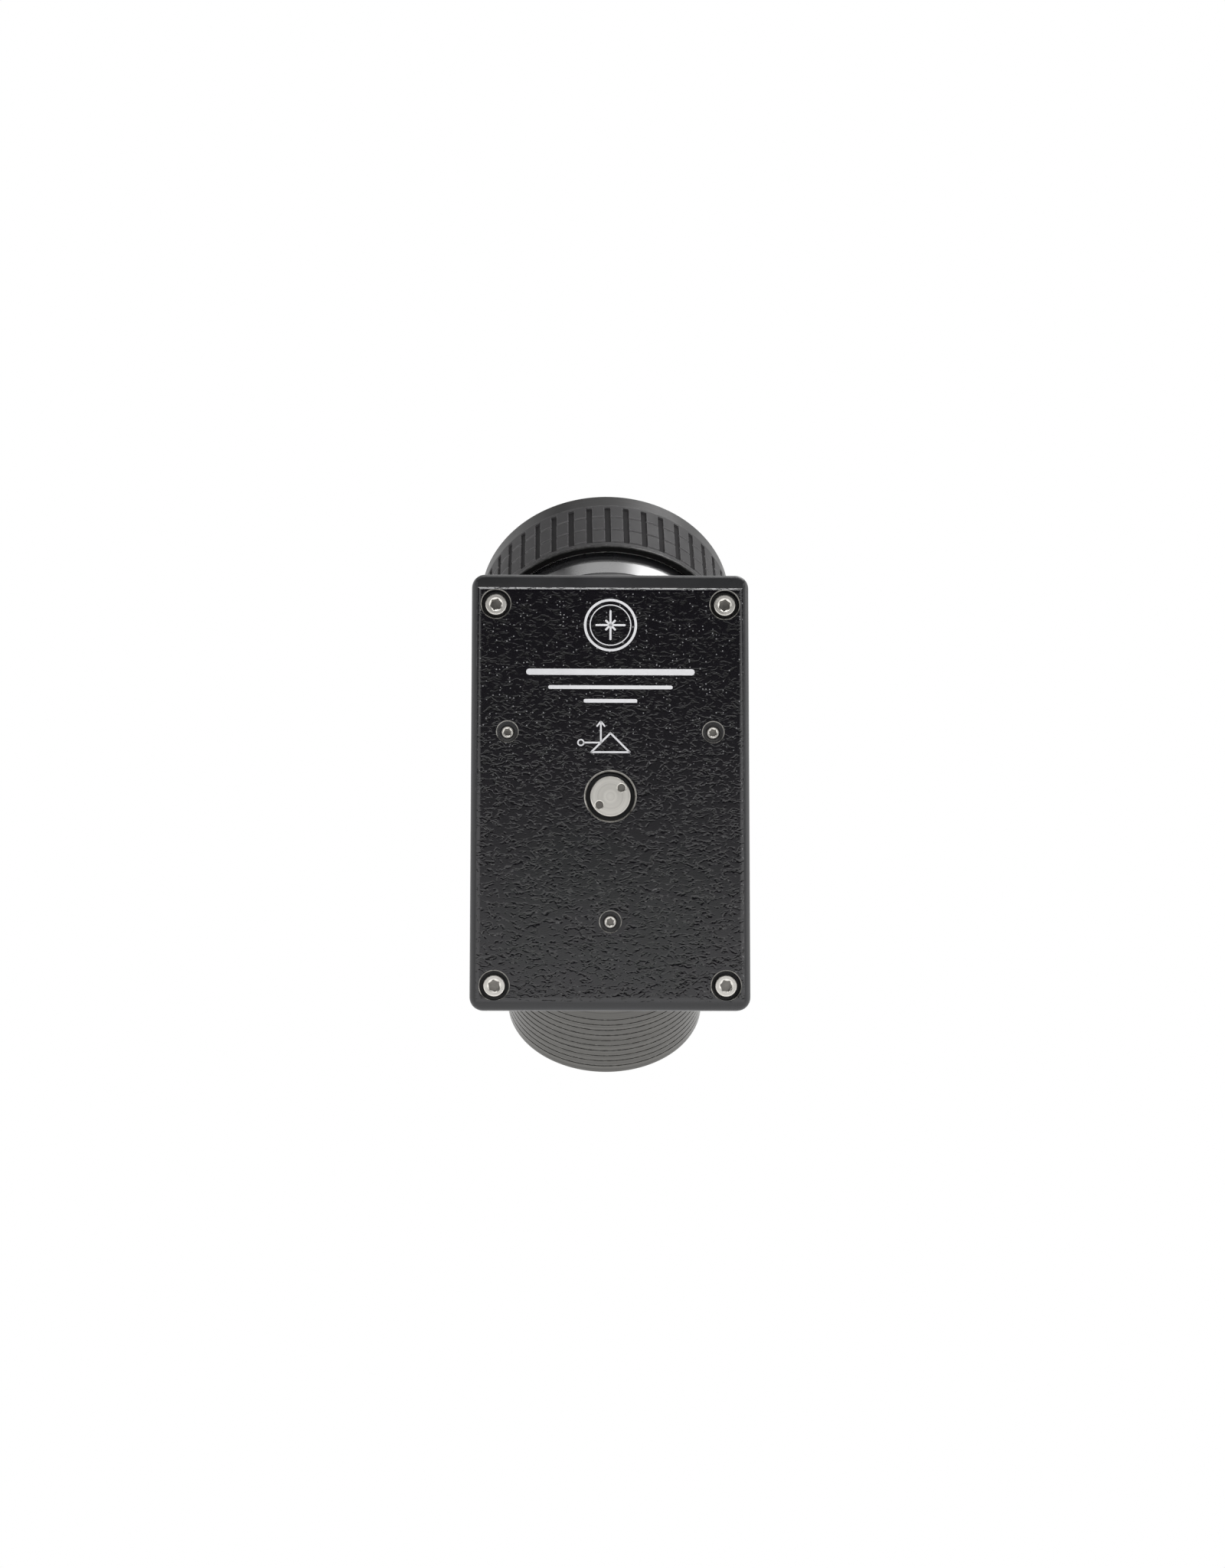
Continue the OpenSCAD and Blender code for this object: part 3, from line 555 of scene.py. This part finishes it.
# A darker rubber for the groove bottoms: painted shade.
painted_shade_rubber = grained("rubber in a groove", (0.008, 0.0075, 0.008), (0.012, 0.011, 0.012),
                        (0.05, 0.05, 0.05), (0.7, 0.85), scale=3500.0, depth=0.02 * mm,
                        Specular_IOR_Level=0.15)
seal_rubber = grained("sheet rubber", (0.014, 0.014, 0.014), (0.022, 0.022, 0.022),
                      (0.05, 0.05, 0.05), (0.6, 0.75), depth=0.015 * mm)
glide_white = grained("white plastic", (0.78, 0.78, 0.75), (0.86, 0.86, 0.83),
                      (0.9, 0.9, 0.88), (0.45, 0.55))
cork, tree, shader, place = start_material("pressed cork", rough=0.85)
granules = add(tree, "ShaderNodeTexVoronoi", {"Vector": place, "Scale": 1400.0})
crumb = add(tree, "ShaderNodeSeparateColor", {"Color": granules.outputs["Color"]})
tree.links.new(mixed(tree, crumb.outputs["Green"], (0.26, 0.15, 0.07), (0.56, 0.38, 0.2)),
               shader.inputs["Base Color"])
tree.links.new(ranged(tree, crumb.outputs["Red"], 0.75, 0.95), shader.inputs["Roughness"])
bumped(tree, shader, granules.outputs["Distance"], 0.1 * mm)
prism_glass, tree, shader, place = start_material(
    "optical glass", IOR=1.52, Transmission_Weight=1.0)
haze = add(tree, "ShaderNodeGroup", {"Vector": place}, node_tree=grain)
tree.links.new(mixed(tree, haze.outputs["Patches"], (0.90, 0.95, 0.92), (0.95, 0.98, 0.96)),
               shader.inputs["Base Color"])
tree.links.new(ranged(tree, haze.outputs["Patches"], 0.0, 0.03), shader.inputs["Roughness"])
print(len(bpy.data.materials), "materials")

# %% [markdown]
# ## The cover
# The cover is milled from flat bar: a slab with rounded corners, a low raised
# field inside a shallow sloping rim, and pockets for the screws. It starts as
# a cube of the slab's size. Bisect planes cut the rim's four slopes, the flat
# that they leave is extruded into the field, and both edges are rolled,
# because paint gathers there and catches the light.

# %% Cover slab
lip_drop, step_drop = 0.6 * mm, 0.42 * mm
step_run = 0.74 * mm
lip = 0.8 * mm
corner_round = 3.2 * mm
field_top, field_low, field_side = 3.3 * mm, 2.1 * mm, 1.5 * mm
pick_none()
rim_high = plate_high - Vector((0, 0, step_drop))
bpy.ops.mesh.primitive_cube_add(size=1, location=(plate_low + rim_high) / 2)
cover = bpy.context.object
cover.name = "cover_milled"
cover.scale = rim_high - plate_low
bpy.ops.object.transform_apply(location=True, rotation=True, scale=True)
uprights = pick(cover, "EDGE", lambda e: abs((e.verts[0].co - e.verts[1].co).z) > mm)
bpy.ops.mesh.bevel(offset=corner_round, segments=8, affect="EDGES")
for side, width, edge in (((0, 1), field_top, plate_high.y),
                          ((0, -1), field_low, -plate_low.y),
                          ((1, 0), field_side, plate_high.x),
                          ((-1, 0), field_side, -plate_low.x)):
    away = Vector((*side, 0))
    bpy.ops.mesh.select_all(action="SELECT")
    bpy.ops.mesh.bisect(
        plane_co=away * (edge - width) + Vector((0, 0, rim_high.z)),
        plane_no=(away * (lip_drop - step_drop) + Vector((0, 0, width - lip))).normalized(),
        use_fill=True, clear_outer=True, threshold=0.001 * mm)
close(cover)
pick(cover, "FACE", lambda f: f.normal.z > 0.9999)
bpy.ops.mesh.extrude_region_move(TRANSFORM_OT_translate={"value": (0, 0, step_drop)})
half_x = plate_high.x - field_side
half_y = (plate_high.y - field_top - plate_low.y - field_low) / 2
bpy.ops.transform.resize(value=(1 - step_run / half_x, 1 - step_run / half_y, 1))
close(cover)
print("slab with", uprights, "rounded corners,", len(cover.data.polygons), "faces")

# %% Cover edges
def between(edge, low, high):
    """Whether an edge joins a face tilted less than low to one tilted over high."""
    tilts = sorted(f.normal.z for f in edge.link_faces)
    return len(tilts) == 2 and abs(tilts[0]) < low and tilts[1] > high


outer = pick(cover, "EDGE", lambda e: between(e, 0.1, 0.9))
bpy.ops.mesh.bevel(offset=1.1 * mm, segments=4, affect="EDGES")
inner = pick(cover, "EDGE", lambda e: len(e.link_faces) == 2 and
             max(f.normal.z for f in e.link_faces) > 0.9999 and
             0.7 < min(f.normal.z for f in e.link_faces) < 0.9)
bpy.ops.mesh.bevel(offset=0.3 * mm, segments=3, affect="EDGES")
close(cover)
print(outer, "outer and", inner, "inner edges rolled")

# %% [markdown]
# The screws sit in pockets: four flat-bottomed counterbores at the corners,
# three countersinks for the adjusting screws, and a wide well for the pull
# screw. Their places come from the screws themselves, so cover and screws
# can't drift apart. Each cutter is turned like the drill that it stands for.

# %% Pockets for the screws
head_r = 2.75 * mm
caps_low, caps_high = span("cover_screws", COVER)
cap_at = [(u, v) for u in (caps_low.x + head_r, caps_high.x - head_r)
          for v in (caps_low.y + head_r, caps_high.y - head_r)]
cap_seat = caps_high.z - 3 * mm
screw_at = {}
for part in ("adj_screw_1", "adj_screw_2", "adj_screw_3", "pull_screw"):
    low, high = span(part, COVER)
    screw_at[part] = ((low.x + high.x) / 2, (low.y + high.y) / 2, high.z)
face = plate_high.z


def drill(u, v, outline):
    return set_down(turn("drill", outline, steps=64, whole=False),
                    Matrix.Translation((u, v, 0)))


for u, v in cap_at:
    cut(cover, drill(u, v, [(0, cap_seat), (3.5 * mm, cap_seat),
                            (3.5 * mm, face - 0.22 * mm), (3.72 * mm, face),
                            (4.72 * mm, face + mm), (0, face + mm)]))
for part in ("adj_screw_1", "adj_screw_2", "adj_screw_3"):
    u, v, top = screw_at[part]
    cut(cover, drill(u, v, [(0, plate_low.z - mm), (1.6 * mm, plate_low.z - mm),
                            (1.6 * mm, face - 1.3 * mm), (2.5 * mm, face - 0.2 * mm),
                            (2.7 * mm, face), (3.7 * mm, face + mm), (0, face + mm)]))
u, v, pull_top = screw_at["pull_screw"]
well_floor = span("spring_lower", COVER)[0].z - 0.2 * mm
cut(cover, drill(u, v, [(0, plate_low.z - mm), (3.3 * mm, plate_low.z - mm),
                        (3.3 * mm, well_floor), (5.9 * mm, well_floor),
                        (5.9 * mm, face - 0.4 * mm), (6.3 * mm, face),
                        (7.3 * mm, face + mm), (0, face + mm)]))
print(len(cap_at), "counterbores,", len(screw_at) - 1, "countersinks and a well")

# %% Cover finishes
soften(cover, 0.12 * mm, angle=23)
set_down(cover, COVER)
cover.data.materials.clear()
cover.data.materials.append(rim_black)
cover.data.materials.append(wrinkle_black)
cover.data.materials.append(pocket_edge_highlight)
pockets = [(u, v, 3.6 * mm) for u, v in cap_at] + [
    (*screw_at[part][:2], 6.1 * mm if part == "pull_screw" else 2.6 * mm)
    for part in screw_at]
outward = (COVER.to_3x3() @ Vector((0, 0, 1))).normalized()
painted = 0
for polygon in cover.data.polygons:
    middle = COVER.inverted() @ polygon.center
    inside = (abs(middle.x) < plate_high.x - field_side and
              plate_low.y + field_low < middle.y < plate_high.y - field_top)
    if inside and middle.z > rim_high.z and polygon.normal.dot(outward) > 0.7:
        polygon.material_index = 1
        painted += 1
    tilt = polygon.normal.dot(outward)
    # Pocket chamfers get the lighter metal finish: a painted highlight.
    if 0.3 < tilt < 0.97 and middle.z > face - 0.45 * mm and any(
            abs((middle.xy - Vector((u, v))).length - r) < 0.25 * mm for u, v, r in pockets):
        polygon.material_index = 2
fit(cover, "housing", "black_cover", None, "cover_plate")
print(painted, "faces have the wrinkle coat")

# %% [markdown]
# ## Screws
# A socket head screw is turned from bar and its hexagon is pressed in. Its
# head has a rounded rim, a bright chamfer round the socket, and a shank below.
# The set screws are the same idea without a head. One of each is modelled at
# the origin and copied to its places, each copy with its own mesh.

# %% Socket head screws
def hexagon(across, low, high):
    pick_none()
    bpy.ops.mesh.primitive_cylinder_add(
        vertices=6, radius=across / 2 / cos(pi / 6), depth=high - low,
        location=(0, 0, (low + high) / 2))
    bpy.ops.object.transform_apply(location=True, rotation=True, scale=True)
    return bpy.context.object


def copy_to(original, name, place, twist=0.0):
    piece = bpy.data.objects.new(name, original.data.copy())
    bpy.context.scene.collection.objects.link(piece)
    return set_down(piece, place @ Matrix.Rotation(twist, 4, "Z"))


def recess(piece, across, below):
    """Gives the inside of a hexagon a darker steel: painted shade."""
    piece.data.materials.append(steel)
    piece.data.materials.append(painted_shade_steel)
    for polygon in piece.data.polygons:
        out = polygon.center.xy.length
        if out < across * 0.56 and below - 2 * mm < polygon.center.z < below:
            polygon.material_index = 1
    return piece


def socket_screw(name, shank_r, length, rim_r, head_h, across):
    """A cap screw with its seat at the origin and its head upward."""
    piece = turn(name, [
        (0, -length), (shank_r - 0.3 * mm, -length), (shank_r, 0.3 * mm - length),
        (shank_r, 0), (rim_r - 0.15 * mm, 0), (rim_r, 0.15 * mm),
        (rim_r, head_h - 0.45 * mm), (rim_r - 0.1 * mm, head_h - 0.2 * mm),
        (rim_r - 0.25 * mm, head_h - 0.05 * mm), (rim_r - 0.45 * mm, head_h),
        (across / 2 + 0.42 * mm, head_h), (across / 2 + 0.05 * mm, head_h - 0.3 * mm),
        (0, head_h - 0.3 * mm)], steps=48, whole=False)
    cut(piece, hexagon(across, head_h / 2, head_h + mm))
    return recess(soften(piece, 0.04 * mm, angle=30, segments=1), across,
                  head_h - 0.35 * mm)


cap = socket_screw("cap", 1.5 * mm, cap_seat - caps_low.z, head_r, 3 * mm, 2.5 * mm)
caps = [copy_to(cap, f"cover_cap_{i + 1}", COVER @ Matrix.Translation((u, v, cap_seat)),
                radians(twist))
        for i, ((u, v), twist) in enumerate(zip(cap_at, (8, 41, 23, 52)))]
bpy.data.objects.remove(cap)
for i, piece in enumerate(caps):
    fit(piece, "housing", "steel_screws", None, *(["cover_screws"] if i == 0 else []))

# %% Set screws
def set_screw(name, radius, length, across):
    """A headless screw with its top at the origin, its point downward."""
    thread = [(radius - 0.12 * mm * (i % 2), -0.25 * mm - i * 0.25 * mm)
              for i in range(int((length - 0.7 * mm) / (0.25 * mm)))]
    piece = turn(name, [(0, -0.2 * mm), (across / 2 + 0.1 * mm, -0.2 * mm),
                        (across / 2 + 0.3 * mm, 0), (radius - 0.25 * mm, 0)] + thread +
                 [(radius - 0.4 * mm, -length), (0, -length)], steps=36, whole=False)
    cut(piece, hexagon(across, -1.4 * mm, mm))
    return recess(soften(piece, 0.03 * mm, angle=30, segments=1), across, -0.25 * mm)


adj_low, adj_high = span("adj_screw_1", COVER)
pin = set_screw("pin", 1.55 * mm, adj_high.z - adj_low.z, 1.6 * mm)
for i in (1, 2, 3):
    u, v, top = screw_at[f"adj_screw_{i}"]
    piece = copy_to(pin, f"adjuster_{i}", COVER @ Matrix.Translation((u, v, top)),
                    radians(17 * i))
    fit(piece, f"adj_screw_{i}", "steel_screws", None, f"adj_screw_{i}")
bpy.data.objects.remove(pin)

# %% [markdown]
# The pull screw draws the carrier up against the three adjusters. Its flat
# head is faced on a lathe, so it shows rings from the tool, and it takes a
# two-pin spanner. The two holes are drilled with a small countersink.

# %% Pull screw
u, v, pull_top = screw_at["pull_screw"]
pull_low = span("pull_screw", COVER)[0].z
pull = turn("pull_head", [
    (0, pull_low - pull_top), (1.7 * mm, pull_low - pull_top),
    (2 * mm, pull_low - pull_top + 0.3 * mm), (2 * mm, -2 * mm),
    (4.75 * mm, -2 * mm), (4.9 * mm, -1.85 * mm), (4.9 * mm, -0.3 * mm),
    (4.8 * mm, -0.08 * mm), (4.62 * mm, 0), (0, 0)], steps=96, whole=False)
for turned_by in (38, 218):
    hole = turn("hole", [(0, -1.3 * mm), (0.9 * mm, -1.3 * mm), (0.9 * mm, -0.18 * mm),
                         (1.15 * mm, 0.07 * mm), (1.15 * mm, mm), (0, mm)],
                steps=40, whole=False)
    cut(pull, set_down(hole, Matrix.Rotation(radians(turned_by), 4, "Z") @
                       Matrix.Translation((3.35 * mm, 0, 0))))
soften(pull, 0.04 * mm, angle=30, segments=1)
PULL = COVER @ Matrix.Translation((u, v, pull_top))
set_down(pull, PULL)
faced_steel = turned("faced steel", PULL, (0.60, 0.58, 0.54), (0.80, 0.78, 0.73),
                     (0.85, 0.84, 0.8), (0.30, 0.42), pitch=0.11 * mm, facing=1.0,
                     depth=0.012 * mm, metallic=1.0)
pull.data.materials.append(faced_steel)
pull.data.materials.append(painted_shade_steel)
# The insides of the spanner holes get the darker steel: painted shade.
for polygon in pull.data.polygons:
    middle = PULL.inverted() @ polygon.center
    if middle.xy.length < 4.5 * mm and -2 * mm < middle.z < -0.2 * mm:
        polygon.material_index = 1
fit(pull, "pull_screw", "turned_steel", None, "pull_screw")

# %% [markdown]
# ## The nosepiece
# The tube slides into a telescope's focuser. Ten narrow grooves near its end
# stop it from falling out, and a filter thread runs inside the end. Both are
# real steps in the outline, which is spun round the tube's axis.

# %% Nosepiece
nose_low, nose_high = span("nosepiece", NOSE)
shoulder = -crossing.y
nose_r, flange_r, bore_r = 25.4 * mm, nose_high.x, 23 * mm
spigot_r = 27 * mm
nose_end = nose_high.z
outline = [(bore_r, nose_low.z), (spigot_r, nose_low.z), (spigot_r, shoulder - 2 * mm),
           (flange_r - 0.3 * mm, shoulder - 2 * mm), (flange_r, shoulder - 1.7 * mm),
           (flange_r, shoulder - 0.3 * mm), (flange_r - 0.3 * mm, shoulder),
           (nose_r + 0.1 * mm, shoulder), (nose_r, shoulder + 0.1 * mm)]
for i in reversed(range(10)):
    groove = nose_end - 2.48 * mm - i * 1.818 * mm
    outline += [(nose_r, groove - 0.18 * mm), (nose_r - 0.2 * mm, groove - 0.15 * mm),
                (nose_r - 0.25 * mm, groove - 0.1 * mm),
                (nose_r - 0.25 * mm, groove + 0.1 * mm),
                (nose_r - 0.2 * mm, groove + 0.15 * mm), (nose_r, groove + 0.18 * mm)]
outline += [(nose_r, nose_end - 0.4 * mm), (nose_r - 0.12 * mm, nose_end - 0.12 * mm),
            (nose_r - 0.4 * mm, nose_end), (bore_r + mm, nose_end),
            (bore_r + 0.75 * mm, nose_end - 0.25 * mm)]
for i in range(7):
    crest = nose_end - 0.55 * mm - i * 0.7 * mm
    outline += [(bore_r + 0.6 * mm, crest), (bore_r + 0.3 * mm, crest - 0.35 * mm)]
outline += [(bore_r + 0.6 * mm, nose_end - 5.5 * mm), (bore_r, nose_end - 5.6 * mm)]
nose = turn("nose_tube", outline, steps=160)
soften(nose, 0, angle=25)
set_down(nose, NOSE)
fit(nose, "housing", "satin_black", nose_satin, "nosepiece")

# %% [markdown]
# ## The body, the neck and the ring
# These parts' shapes are already right, but their edges are perfectly sharp
# and their meshes are loose triangles. A welded copy of each gets a narrow
# bevel on every sharp edge, which is what makes them look machined.

# %% Welded and softened parts
body = soften(welded("housing", "body_block"), 0.35 * mm, angle=30, segments=3)
fit(body, "housing", "black_body", body_black, "housing")
neck = soften(welded("socket_base", "neck_turned"), 0.12 * mm, angle=30)
fit(neck, "housing", "gloss_black", neck_gloss, "socket_base")
ring = soften(welded("clamp_ring", "ring_turned"), 0.12 * mm, angle=30)
fit(ring, "clamp_ring", "satin_ring", ring_satin, "clamp_ring")
keeper = soften(welded("retaining_ring", "keeper_turned"), 0.1 * mm, angle=30)
fit(keeper, "housing", "matt_black", carrier_black, "retaining_ring")

# %% [markdown]
# ## The rubber grip
# The grip is a moulded sleeve with rows of raised pads. It starts as a tube
# with six faces to a pad's pitch. Rings are cut into it with Bisect where the
# grooves run round, the faces of all grooves are inset and pushed in
# together, and the sleeve gets its thickness by bridging its two ends inside.

# %% Grip sleeve
grip_low, grip_high = span("rubber_grip", SOCKET)
pads, faces_each = 44, 6
groove_w, row_pitch = 0.8 * mm, 5.65 * mm
grip_r = grip_high.x
inner_r, pad_r = 31.9 * mm, 32.5 * mm    # the sleeve's bore, the pads' faces
pick_none()
bpy.ops.mesh.primitive_cylinder_add(
    vertices=pads * faces_each, radius=grip_r, depth=grip_high.z - grip_low.z,
    end_fill_type="NOTHING", location=(0, 0, (grip_high.z + grip_low.z) / 2))
grip = bpy.context.object
grip.name = "grip_sleeve"
bpy.ops.object.transform_apply(location=True, rotation=True, scale=True)
rows = [grip_high.z - i * row_pitch for i in (1, 2, 3)]
upper_end = grip_high.z - 0.9 * mm
for level in rows + [z + groove_w for z in rows] + [upper_end]:
    pick(grip, "FACE", lambda f: True)
    bpy.ops.mesh.bisect(plane_co=(0, 0, level), plane_no=(0, 0, 1),
                        threshold=0.001 * mm)
    close(grip)


def in_groove(f):
    middle = f.calc_center_median()
    step = 2 * pi / pads / faces_each
    column = int((Vector((1, 0)).angle_signed(middle.xy) * -1 % (2 * pi)) / step)
    upright = column % faces_each in (0, faces_each - 1) and rows[2] < middle.z < upper_end
    level = any(z < middle.z < z + groove_w for z in rows)
    return upright or level


grooves = pick(grip, "FACE", in_groove)
bpy.ops.mesh.inset(thickness=0.1 * mm, depth=-0.42 * mm, use_boundary=False)
close(grip)
print(grooves, "groove faces between", pads, "pads to a row")

# %% Grip thickness
for end in (grip_low.z, grip_high.z):
    pick(grip, "EDGE", lambda e: all(abs(v.co.z - end) < 0.01 * mm for v in e.verts))
    bpy.ops.mesh.extrude_edges_move(TRANSFORM_OT_translate={"value": (0, 0, 0)})
    bpy.ops.transform.resize(value=(inner_r / grip_r, inner_r / grip_r, 1))
    close(grip)
pick(grip, "EDGE", lambda e: e.is_boundary)
bpy.ops.mesh.bridge_edge_loops()
bpy.ops.mesh.select_all(action="SELECT")
bpy.ops.mesh.normals_make_consistent(inside=False)
close(grip)
soften(grip, 0.07 * mm, angle=28, segments=2)
grip.data.materials.append(grip_rubber)
grip.data.materials.append(painted_shade_rubber)
grip.data.materials.append(painted_highlight_rubber)
# Down-facing pad walls get the lighter rubber, a painted highlight; groove bottoms get the
# darker rubber, painted shade.
for polygon in grip.data.polygons:
    out = polygon.center.xy.length
    if out > pad_r and rows[2] - mm < polygon.center.z < upper_end - mm:
        if polygon.normal.z < -0.4:
            polygon.material_index = 2
        elif out < grip_r - 0.3 * mm:
            polygon.material_index = 1
set_down(grip, SOCKET)
fit(grip, "clamp_ring", "grip_rubber", None, "rubber_grip")

# %% [markdown]
# ## Parts that keep their own shape
# Pins, springs, jaws and the small screws inside are already the right shape
# at their size, so they only get their finishes. The prism is clear, so its
# carrier, cheeks and cork show through it from the eyepiece side.

# %% Finishes of the carried parts
finishes = {
    "cover_gasket": seal_rubber, "nose_grubs": steel, "nose_baffle": flat_black,
    "port_grubs": steel, "glide_ring": glide_white, "stop_pin": pin_steel,
    "jaw_1": socket_brass, "jaw_2": socket_brass, "jaw_3": socket_brass,
    "jaw_pin_1": pin_steel, "jaw_pin_2": pin_steel, "jaw_pin_3": pin_steel,
    "adj_tip_1": socket_brass, "adj_tip_2": socket_brass, "adj_tip_3": socket_brass,
    "spring_lower": spring_blue, "spring_upper": spring_blue,
    "prism_carrier": carrier_black, "contact_pads": pin_steel,
    "prism_gasket": cork, "prism": prism_glass, "cheek_left": flat_black,
    "cheek_right": flat_black, "prism_pads": cork, "cheek_screws": steel,
    "thrust_washer": pin_steel}
for part, finish in finishes.items():
    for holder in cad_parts[part].material_slots:
        holder.material = finish
print(len(finishes), "parts keep their shape")

# %% [markdown]
# ## The printed mark
# A cover like this carries a small screen-printed mark. This one is plain
# and belongs to nobody: a ring with a four-pointed glint, three rules, and a
# diagram of a light path that turns the corner of a triangle. The ink stands
# a few hundredths of a millimetre proud, so each stroke is a thin raised bar.

# %% Ink
ink = grained("white ink", (0.60, 0.60, 0.62), (0.70, 0.70, 0.72), (0.5, 0.5, 0.52),
              (0.5, 0.65), scale=2400.0, depth=0.02 * mm)
ink_h = 0.03 * mm
ink_at = COVER @ Matrix.Translation((0, (plate_low.y + plate_high.y) / 2, face))


def stroke(start, end, width):
    """A flat bar of ink with rounded ends between two points of the cover."""
    start, end = Vector((*start, 0)), Vector((*end, 0))
    pick_none()
    bpy.ops.mesh.primitive_cube_add(size=1, location=(start + end) / 2)
    piece = bpy.context.object
    piece.scale = ((end - start).length + width, width, 2 * ink_h)
    piece.rotation_euler.z = Vector((1, 0)).angle_signed((end - start).xy) * -1
    bpy.ops.object.transform_apply(location=True, rotation=True, scale=True)
    pick(piece, "EDGE", lambda e: abs((e.verts[0].co - e.verts[1].co).z) > ink_h)
    bpy.ops.mesh.bevel(offset=width * 0.45, segments=3, affect="EDGES")
    return close(piece)


def hoop(middle, radius, width):
    piece = turn("hoop", [(radius - width / 2, -ink_h), (radius + width / 2, -ink_h),
                          (radius + width / 2, ink_h), (radius - width / 2, ink_h)],
                 steps=72)
    return set_down(piece, Matrix.Translation((*middle, 0)))


# %% Strokes of the mark
u0, v0 = 0.0, 40.0 * mm
strokes = [hoop((u0, v0), 6.1 * mm, 0.6 * mm), hoop((u0, v0), 4.9 * mm, 0.25 * mm)]
for turned_by, reach in ((0, 3.4), (90, 3.4), (45, 1.5), (135, 1.5)):
    tip = Vector((cos(radians(turned_by)), sin(radians(turned_by)))) * reach * mm
    middle = Vector((u0, v0))
    strokes.append(stroke(middle - tip, middle + tip, 0.5 * mm))
for height, half, width in ((28.6, 19.5, 1.5), (24.9, 14.5, 0.9), (21.6, 6.0, 0.9)):
    strokes.append(stroke((-half * mm, height * mm), (half * mm, height * mm), width * mm))
corner = [Vector((-4.6 * mm, 9.2 * mm)), Vector((4.6 * mm, 9.2 * mm)),
          Vector((0, 13.8 * mm))]
for a, b in zip(corner, corner[1:] + corner[:1]):
    strokes.append(stroke(a, b, 0.45 * mm))
for a, b in (((-6.4, 11.5), (-2.3, 11.5)), ((-2.3, 11.5), (-2.3, 16.6)),
             ((-2.3, 16.6), (-3.2, 15.5)), ((-2.3, 16.6), (-1.4, 15.5))):
    strokes.append(stroke(Vector(a) * mm, Vector(b) * mm, 0.4 * mm))
strokes.append(hoop((-7.1 * mm, 11.5 * mm), 0.7 * mm, 0.35 * mm))
pick_none()
for piece in strokes:
    piece.select_set(True)
bpy.context.view_layer.objects.active = strokes[0]
bpy.ops.object.join()
mark = strokes[0]
mark.name = "printed_mark"
set_down(mark, ink_at)
fit(mark, "housing", "black_cover", ink)

# %% [markdown]
# ## Floor, light and camera
# The part hangs over a plain pale floor in a bright room. Glossy black shows
# little but what it mirrors, so the room has a dark side, which the upper half
# of the cover mirrors, and a bright one, which the tube and the lower half
# mirror. Four soft boxes do the rest: one overhead for the upper edges, a
# long strip for the raised edge of the cover, a window for the glossy neck,
# and a small one at the right for the sides.

# %% Floor
pick_none()
bpy.ops.mesh.primitive_plane_add(size=24, location=(0, 0, -0.75))
floor = bpy.context.object
floor.name = "floor"
pale, tree, shader, place = start_material("pale floor", rough=0.7)
cloud = add(tree, "ShaderNodeGroup", {"Vector": place, "Scale": 60.0, "Drift": 0.8},
            node_tree=grain)
tree.links.new(mixed(tree, cloud.outputs["Patches"], (0.80, 0.80, 0.80), (0.84, 0.84, 0.83)),
               shader.inputs["Base Color"])
floor.data.materials.append(pale)
floor.visible_glossy = floor.visible_shadow = False

# %% World
world = bpy.data.worlds.new("bright room")
world.use_nodes = True
bpy.context.scene.world = world
sky = world.node_tree
sky.nodes.clear()
seen = add(sky, "ShaderNodeBackground", {"Color": (1, 1, 1, 1), "Strength": 1.0})
aim = add(sky, "ShaderNodeTexCoord")
dark_side = COVER.to_3x3() @ Vector((0, sin(radians(60)), cos(radians(60))))
flag = add(sky, "ShaderNodeVectorMath", {0: aim.outputs["Generated"], 1: dark_side},
           operation="DOT_PRODUCT")
shade = add(sky, "ShaderNodeMapRange", {
    "Value": flag.outputs["Value"], "From Min": cos(radians(61)),
    "From Max": cos(radians(53)), "To Min": 1.45, "To Max": 0.02},
    interpolation_type="SMOOTHSTEP")
lit = add(sky, "ShaderNodeBackground",
          {"Color": (1, 1, 1, 1), "Strength": shade.outputs["Result"]})
rays = add(sky, "ShaderNodeLightPath")
blend = add(sky, "ShaderNodeMixShader", {0: rays.outputs["Is Camera Ray"]})
sky.links.new(lit.outputs["Background"], blend.inputs[1])
sky.links.new(seen.outputs["Background"], blend.inputs[2])
out = add(sky, "ShaderNodeOutputWorld")
sky.links.new(blend.outputs["Shader"], out.inputs["Surface"])
bpy.context.scene.view_settings.view_transform = "Standard"


# %% Soft boxes
def soft_box(name, place, aim, size, power):
    lamp = bpy.data.lights.new(name, "AREA")
    lamp.shape, lamp.size, lamp.size_y, lamp.energy = "RECTANGLE", size[0], size[1], power
    holder = bpy.data.objects.new(name, lamp)
    bpy.context.scene.collection.objects.link(holder)
    holder.location = place
    holder.rotation_euler = (Vector(aim) - Vector(place)).to_track_quat("-Z", "Y").to_euler()
    return holder


middle = crossing
soft_box("overhead", (0.12, -0.55, 0.80), middle, (0.9, 0.4), 2.6)
soft_box("front strip", (0.0, -0.86, 0.37), middle, (1.2, 0.10), 3.6)
soft_box("right window", (0.40, -0.47, 0.70), middle, (0.36, 0.32), 3.0)
soft_box("right side", (0.85, -0.35, 0.02), middle, (0.3, 0.4), 1.0)

# %% Camera
camera = bpy.data.objects.new("camera", bpy.data.cameras.new("camera"))
bpy.context.scene.collection.objects.link(camera)
right = Vector((0.99972, -0.01713, -0.0165))
up = Vector((-0.00284, -0.77451, 0.63255))
camera.matrix_world = Matrix.Translation((-0.01351, -0.42111, -0.47025)) @ Matrix(
    (right, up, right.cross(up))).transposed().to_4x4()
camera.data.sensor_fit, camera.data.sensor_height = "VERTICAL", 36
camera.data.lens = 56.906
camera.data.clip_start = 0.01
bpy.context.scene.camera = camera
